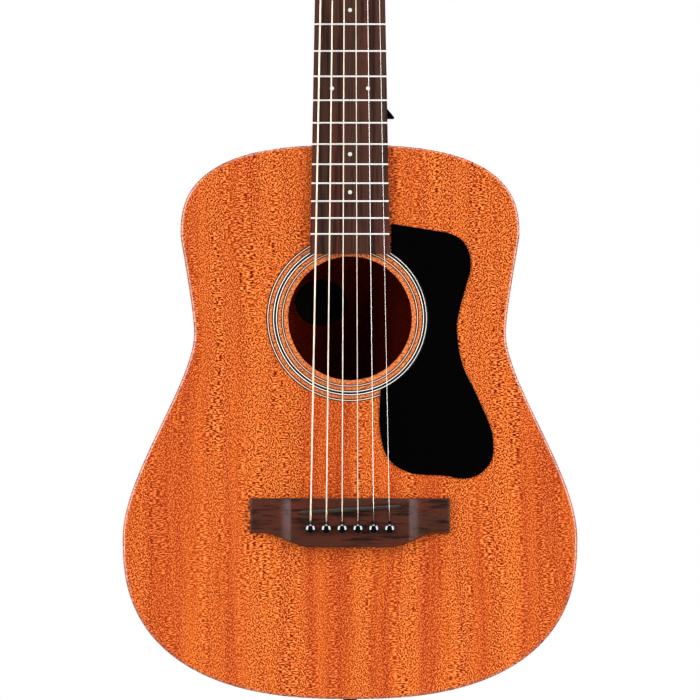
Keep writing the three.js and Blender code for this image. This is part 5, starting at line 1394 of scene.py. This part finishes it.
def shaded(name, effect, values, bump=0.0, relief=0.0001, shine=0.5, coat=(0.0, 0.03), coat_ior=1.5,
           metal=0.0, turn=(0, 0, 0), scale=(1, 1, 1), along=False, rings=False):
    """A Principled material fed by one shared effect. turn lays the grain along another axis, scale draws
    the figure out or together, along reads the distance along the piece from its own UV map, and rings
    gives a wound string's rings as a bump on that distance."""
    made = bpy.data.materials.new(name)
    made.use_nodes = True
    n = Nodes(made.node_tree)
    place = n.object_place()
    if along:
        place = n.add("CombineXYZ", {0: n.parts(place)[1], 1: 0.0, 2: n.run()}).outputs[0]
    place = n.add("Mapping", {"Vector": place, "Rotation": turn, "Scale": scale}).outputs[0]
    figure = n.add("Group", node_tree=shared_group(effect))
    figure = n.feed(figure, {"Vector": place, **values}).outputs
    shader = n.feed(made.node_tree.nodes["Principled BSDF"], {
        "Base Color": figure["Colour"], "Roughness": figure["Roughness"], "Metallic": metal,
        "Specular IOR Level": shine, "Coat Weight": coat[0], "Coat Roughness": coat[1], "Coat IOR": coat_ior})
    height = figure["Height"]
    if rings:
        height = n.math("SINE", n.times(n.run(), 2 * math.pi / WINDING_PITCH))
        bump, relief = 0.5, WINDING_RELIEF
    if bump:
        raised = n.add("Bump", {"Height": height, "Strength": bump, "Distance": relief})
        n.feed(shader, {"Normal": raised.outputs[0]})
    return made


def material(kind):
    """The finish of that name, made on first use from the table and the colours in the panel."""
    name = kind + "_finish"
    if name in bpy.data.materials:
        return bpy.data.materials[name]
    effect, colours, numbers, look = FINISHES[kind]
    chosen = bpy.context.scene.guitar_colours
    colours = [(*getattr(chosen, colour), 1.0) if isinstance(colour, str) else linear(colour)
               for colour in colours]
    _, colour_names, number_names = EFFECTS[effect]
    return shaded(name, effect, dict(zip(colour_names + number_names, [*colours, *numbers])), **look)


def refinish(nodes, kind):
    """Gives CAD pieces that keep their own shape a finished material."""
    for name in nodes:
        mesh = frame["nodes"][name].data
        mesh.materials.clear()
        mesh.materials.append(material(kind))


# Studio

def studio_floor():
    """Floor: a pale disc under the guitar that fades out to its rim, and that no shiny piece mirrors."""
    angle = around(64)
    disc = points_at(FLOOR_RADII * np.cos(angle), FLOOR_CENTRE_Y + FLOOR_RADII * np.sin(angle),
                     TAIL_Z - FLOOR_DROP)
    faces = grid_faces(*disc.shape[:2]).tolist() + [list(range(len(angle)))]
    mesh = plain_mesh("floor", disc.reshape(-1, 3), faces)
    paint = bpy.data.materials.new("floor_paint")
    paint.use_nodes = True
    n = Nodes(paint.node_tree)
    place = n.object_place()
    colour = n.blend(n.noise(place, 60, 3), (0.3, 0.3, 0.3, 1), (0.34, 0.34, 0.34, 1))
    away = n.vector("LENGTH", n.stretch(place, 1, 1, 0), output="Value")
    n.feed(paint.node_tree.nodes["Principled BSDF"], {
        "Base Color": colour, "Roughness": 0.8, "Alpha": n.spread(away, *FLOOR_FADE),
        "Emission Color": (1, 1, 1, 1), "Emission Strength": FLOOR_GLOW})
    mesh.materials.append(paint)
    floor = linked("floor", mesh)
    floor.visible_glossy = False


def studio_world():
    """Surroundings: white where the camera sees them, much dimmer in reflections and least from the front,
    and nearly dark as a source of light."""
    world = bpy.data.worlds.new("studio")
    bpy.context.scene.world = world
    world.use_nodes = True
    n = Nodes(world.node_tree)
    rays = n.add("LightPath").outputs
    way = n.parts(n.add("TexCoord").outputs["Generated"])
    mirrored = n.times(rays["Is Glossy Ray"], n.plus(n.times(n.spread(way[1], -0.35, 0.2), 0.28), 0.02))
    seen = n.plus(rays["Is Camera Ray"], rays["Is Transmission Ray"])
    white = n.math("MAXIMUM", seen, mirrored, clamp=True)
    strength = n.math("MAXIMUM", white, n.times(rays["Is Diffuse Ray"], 0.02))
    n.feed(world.node_tree.nodes["Background"], {"Color": (1, 1, 1, 1), "Strength": strength})


def studio_lamps():
    """Flat lamps that face the middle of the picture."""
    for name, (place, size, power) in LAMPS.items():
        data = bpy.data.lights.new(name, "AREA")
        data.shape = "RECTANGLE"
        data.size, data.size_y = size
        data.energy = power
        x, y, z = np.array([0, 0, CAMERA_Z]) - place
        lamp = linked(name, data)
        lamp.location = place
        lamp.rotation_euler = (math.atan2(math.hypot(x, y), -z), 0, math.atan2(y, x) - math.pi / 2)


def photo_camera():
    """The photograph's camera, level and square to the soundboard."""
    data = bpy.data.cameras.new("camera")
    data.sensor_width = SENSOR_WIDTH
    data.lens = SENSOR_WIDTH * CAMERA_DISTANCE / PICTURE_SIDE
    data.clip_end = 50
    camera = linked("camera", data)
    camera.location = (0, -CAMERA_DISTANCE, CAMERA_Z)
    camera.rotation_euler = (math.pi / 2, 0, 0)
    bpy.context.scene.camera = camera
    bpy.context.scene.view_settings.view_transform = "Standard"


# Sizes and colours that a user would change

def length_property(text, hint, default):
    """A length in metres, shown to a hundredth of a millimetre."""
    return bpy.props.FloatProperty(name=text, description=hint, default=default, min=0, precision=5,
                                   unit="LENGTH")


def colour_property(text, hint, colour):
    """A colour whose default is given in sRGB, 0 to 255."""
    return bpy.props.FloatVectorProperty(name=text, description=hint, subtype="COLOR", size=3, min=0, max=1,
                                         default=linear(colour)[:3])


class GuitarSizes(bpy.types.PropertyGroup):
    """How far the edges are rounded"""
    edge_ease: length_property("Body edge", "Radius of the rounded edges of the soundboard and back", 0.0022)
    hole_ease: length_property("Hole edge", "Radius of the sound hole's rounded edge", 0.0006)
    guard_ease: length_property("Pickguard edge", "Radius of the pickguard's rounded edge", 0.0004)
    bridge_ease: length_property("Bridge edge", "Radius of the bridge's rounded edges", 0.0008)
    board_ease: length_property("Fretboard edge", "How much the fretboard's edges are rounded", 0.0004)
    veneer_ease: length_property(
        "Veneer edge", "Radius of the edges of the headstock veneer and heel cap", 0.0005)
    plate_ease: length_property("Plate edge", "Radius of the edges of the tuner plates", 0.0003)
    small_ease: length_property("Nut edge", "Radius of the edges of the nut", 0.00025)


class GuitarColours(bpy.types.PropertyGroup):
    """Colours of the woods, plastics, bone and strings"""
    mahogany_light: colour_property("Top, light", "Light ribbons of the soundboard", (230, 109, 37))
    mahogany_red: colour_property("Top, red", "Redder ribbons of the soundboard", (172, 56, 21))
    mahogany_pore: colour_property("Top, pores", "Pores of the soundboard", (96, 16, 0))
    mahogany_fleck: colour_property("Top, flecks", "Bright flecks of the soundboard", (255, 143, 72))
    body_light: colour_property("Body, light", "Light ribbons of the back, sides and neck", (186, 92, 48))
    body_red: colour_property("Body, red", "Redder ribbons of the back, sides and neck", (152, 62, 34))
    body_pore: colour_property("Body, pores", "Pores of the back, sides and neck", (104, 42, 22))
    rosewood_brown: colour_property("Fretboard, brown", "Ground of the fretboard", (72, 46, 36))
    rosewood_red: colour_property("Fretboard, red", "Reddish streaks of the fretboard", (86, 43, 35))
    rosewood_dark: colour_property("Fretboard, dark", "Dark streaks and pores of the fretboard", (36, 22, 17))
    bridge_brown: colour_property("Bridge, brown", "Ground of the bridge", (72, 36, 22))
    bridge_red: colour_property("Bridge, red", "Reddish streaks of the bridge", (84, 36, 24))
    bridge_dark: colour_property("Bridge, dark", "Dark streaks and pores of the bridge", (26, 10, 7))
    black: colour_property("Black", "Pickguard, pins and buttons", (3, 3, 4))
    saddle_grey: colour_property("Saddle", "Grey of the saddle", (58, 50, 40))
    nut_bone: colour_property("Nut", "Pale tone of the nut", (236, 230, 212))
    bronze: colour_property("Wound strings", "Metal of the wound strings", (252, 238, 216))


# Operators

class BuildOperator:
    """What the guitar's operators share: they build once, in the open scene, by the sizes in the panel."""
    bl_options = {"REGISTER", "UNDO"}


class GUITAR_OT_soundboard(BuildOperator, bpy.types.Operator):
    """Soundboard with its rounded edge, its sound hole and the grooves of the rosette"""
    bl_idname = "guitar.soundboard"
    bl_label = "Soundboard"

    def execute(self, context):
        top_board(context.scene.guitar_sizes)
        return {"FINISHED"}


class GUITAR_OT_back_and_sides(BuildOperator, bpy.types.Operator):
    """Back and the two bent sides"""
    bl_idname = "guitar.back_and_sides"
    bl_label = "Back and sides"

    def execute(self, context):
        back_board(context.scene.guitar_sizes)
        bent_side("side_treble", 1)
        bent_side("side_bass", -1)
        return {"FINISHED"}


class GUITAR_OT_rosette(BuildOperator, bpy.types.Operator):
    """Three rings of veneers round the sound hole"""
    bl_idname = "guitar.rosette"
    bl_label = "Rosette"

    def execute(self, context):
        for name in RING_BANDS:
            rosette(name)
        return {"FINISHED"}


class GUITAR_OT_pickguard(BuildOperator, bpy.types.Operator):
    """Pickguard"""
    bl_idname = "guitar.pickguard"
    bl_label = "Pickguard"

    def execute(self, context):
        pickguard(context.scene.guitar_sizes)
        return {"FINISHED"}


class GUITAR_OT_bridge(BuildOperator, bpy.types.Operator):
    """Bridge with its pin holes and slot, and the saddle"""
    bl_idname = "guitar.bridge"
    bl_label = "Bridge and saddle"

    def execute(self, context):
        bridge(context.scene.guitar_sizes)
        saddle()
        return {"FINISHED"}


class GUITAR_OT_bridge_pins(BuildOperator, bpy.types.Operator):
    """Six bridge pins, each on its own body"""
    bl_idname = "guitar.bridge_pins"
    bl_label = "Bridge pins"

    def execute(self, context):
        for number in NUMBERS:
            bridge_pin(number)
        return {"FINISHED"}


class GUITAR_OT_fretboard(BuildOperator, bpy.types.Operator):
    """Fretboard, frets and position dots"""
    bl_idname = "guitar.fretboard"
    bl_label = "Fretboard"

    def execute(self, context):
        fingerboard(context.scene.guitar_sizes)
        frets()
        position_dots()
        return {"FINISHED"}


class GUITAR_OT_neck(BuildOperator, bpy.types.Operator):
    """Neck with its heel and headstock, veneer, heel cap and nut"""
    bl_idname = "guitar.neck"
    bl_label = "Neck"

    def execute(self, context):
        neck()
        for build in (headplate, heel_cap, nut):
            build(context.scene.guitar_sizes)
        return {"FINISHED"}


class GUITAR_OT_strings(BuildOperator, bpy.types.Operator):
    """Six strings from the bridge to the posts"""
    bl_idname = "guitar.strings"
    bl_label = "Strings"

    def execute(self, context):
        for number in NUMBERS:
            guitar_string(number)
        return {"FINISHED"}


class GUITAR_OT_posts(BuildOperator, bpy.types.Operator):
    """Tuner posts with their gears and windings, and the ferrules round them"""
    bl_idname = "guitar.posts"
    bl_label = "Tuner posts"

    def execute(self, context):
        for number in NUMBERS:
            tuner_post(number)
            gear(number)
        ferrules()
        return {"FINISHED"}


class GUITAR_OT_keys(BuildOperator, bpy.types.Operator):
    """Tuner keys with their worms and knobs"""
    bl_idname = "guitar.keys"
    bl_label = "Tuner keys"

    def execute(self, context):
        for number in NUMBERS:
            tuner_key(number)
        return {"FINISHED"}


class GUITAR_OT_plates(BuildOperator, bpy.types.Operator):
    """The two tuner plates with their ears and screws"""
    bl_idname = "guitar.plates"
    bl_label = "Tuner plates"

    def execute(self, context):
        for name, side in (("tuner_plate_treble", 1), ("tuner_plate_bass", -1)):
            tuner_plate(name, side, context.scene.guitar_sizes)
        return {"FINISHED"}


class GUITAR_OT_strap_holders(BuildOperator, bpy.types.Operator):
    """Strap button on the heel and end pin in the tail"""
    bl_idname = "guitar.strap_holders"
    bl_label = "Strap button and end pin"

    def execute(self, context):
        strap_holders()
        return {"FINISHED"}


class GUITAR_OT_inside(BuildOperator, bpy.types.Operator):
    """Label, and the finishes of the blocks, braces, linings and truss rod inside"""
    bl_idname = "guitar.inside"
    bl_label = "Inside"

    def execute(self, context):
        label()
        words = ("block", "brace", "lining", "tone_bar", "bridge_plate")
        refinish([name for name in frame["nodes"] if any(word in name for word in words)], "inside_wood")
        refinish(["truss_rod", "truss_rod_nut"], "steel")
        return {"FINISHED"}


class GUITAR_OT_studio(BuildOperator, bpy.types.Operator):
    """Floor, lamps, white surroundings and the photograph's camera"""
    bl_idname = "guitar.studio"
    bl_label = "Studio"

    def execute(self, context):
        studio_floor()
        studio_world()
        studio_lamps()
        photo_camera()
        return {"FINISHED"}


OPERATORS = (GUITAR_OT_soundboard, GUITAR_OT_back_and_sides, GUITAR_OT_rosette, GUITAR_OT_pickguard,
             GUITAR_OT_bridge, GUITAR_OT_bridge_pins, GUITAR_OT_fretboard, GUITAR_OT_neck, GUITAR_OT_strings,
             GUITAR_OT_posts, GUITAR_OT_keys, GUITAR_OT_plates, GUITAR_OT_strap_holders, GUITAR_OT_inside,
             GUITAR_OT_studio)


class GUITAR_PT_panel(bpy.types.Panel):
    """Sizes, colours and operators of the guitar"""
    bl_idname = "GUITAR_PT_panel"
    bl_label = "Travel guitar"
    bl_space_type = "VIEW_3D"
    bl_region_type = "UI"
    bl_category = "Guitar"

    def draw(self, context):
        for settings in (context.scene.guitar_sizes, context.scene.guitar_colours):
            box = self.layout.box()
            for key in settings.__annotations__:
                box.prop(settings, key)
        for operator in OPERATORS:
            self.layout.operator(operator.bl_idname)


CLASSES = (GuitarSizes, GuitarColours, *OPERATORS, GUITAR_PT_panel)


def register():
    for kind in CLASSES:
        bpy.utils.register_class(kind)
    bpy.types.Scene.guitar_sizes = bpy.props.PointerProperty(type=GuitarSizes)
    bpy.types.Scene.guitar_colours = bpy.props.PointerProperty(type=GuitarColours)


def unregister():
    del bpy.types.Scene.guitar_sizes
    del bpy.types.Scene.guitar_colours
    for kind in reversed(CLASSES):
        bpy.utils.unregister_class(kind)


def main():
    register()
    for operator in OPERATORS:
        module, name = operator.bl_idname.split(".")
        getattr(getattr(bpy.ops, module), name)()


if __name__ == "__main__":
    main()
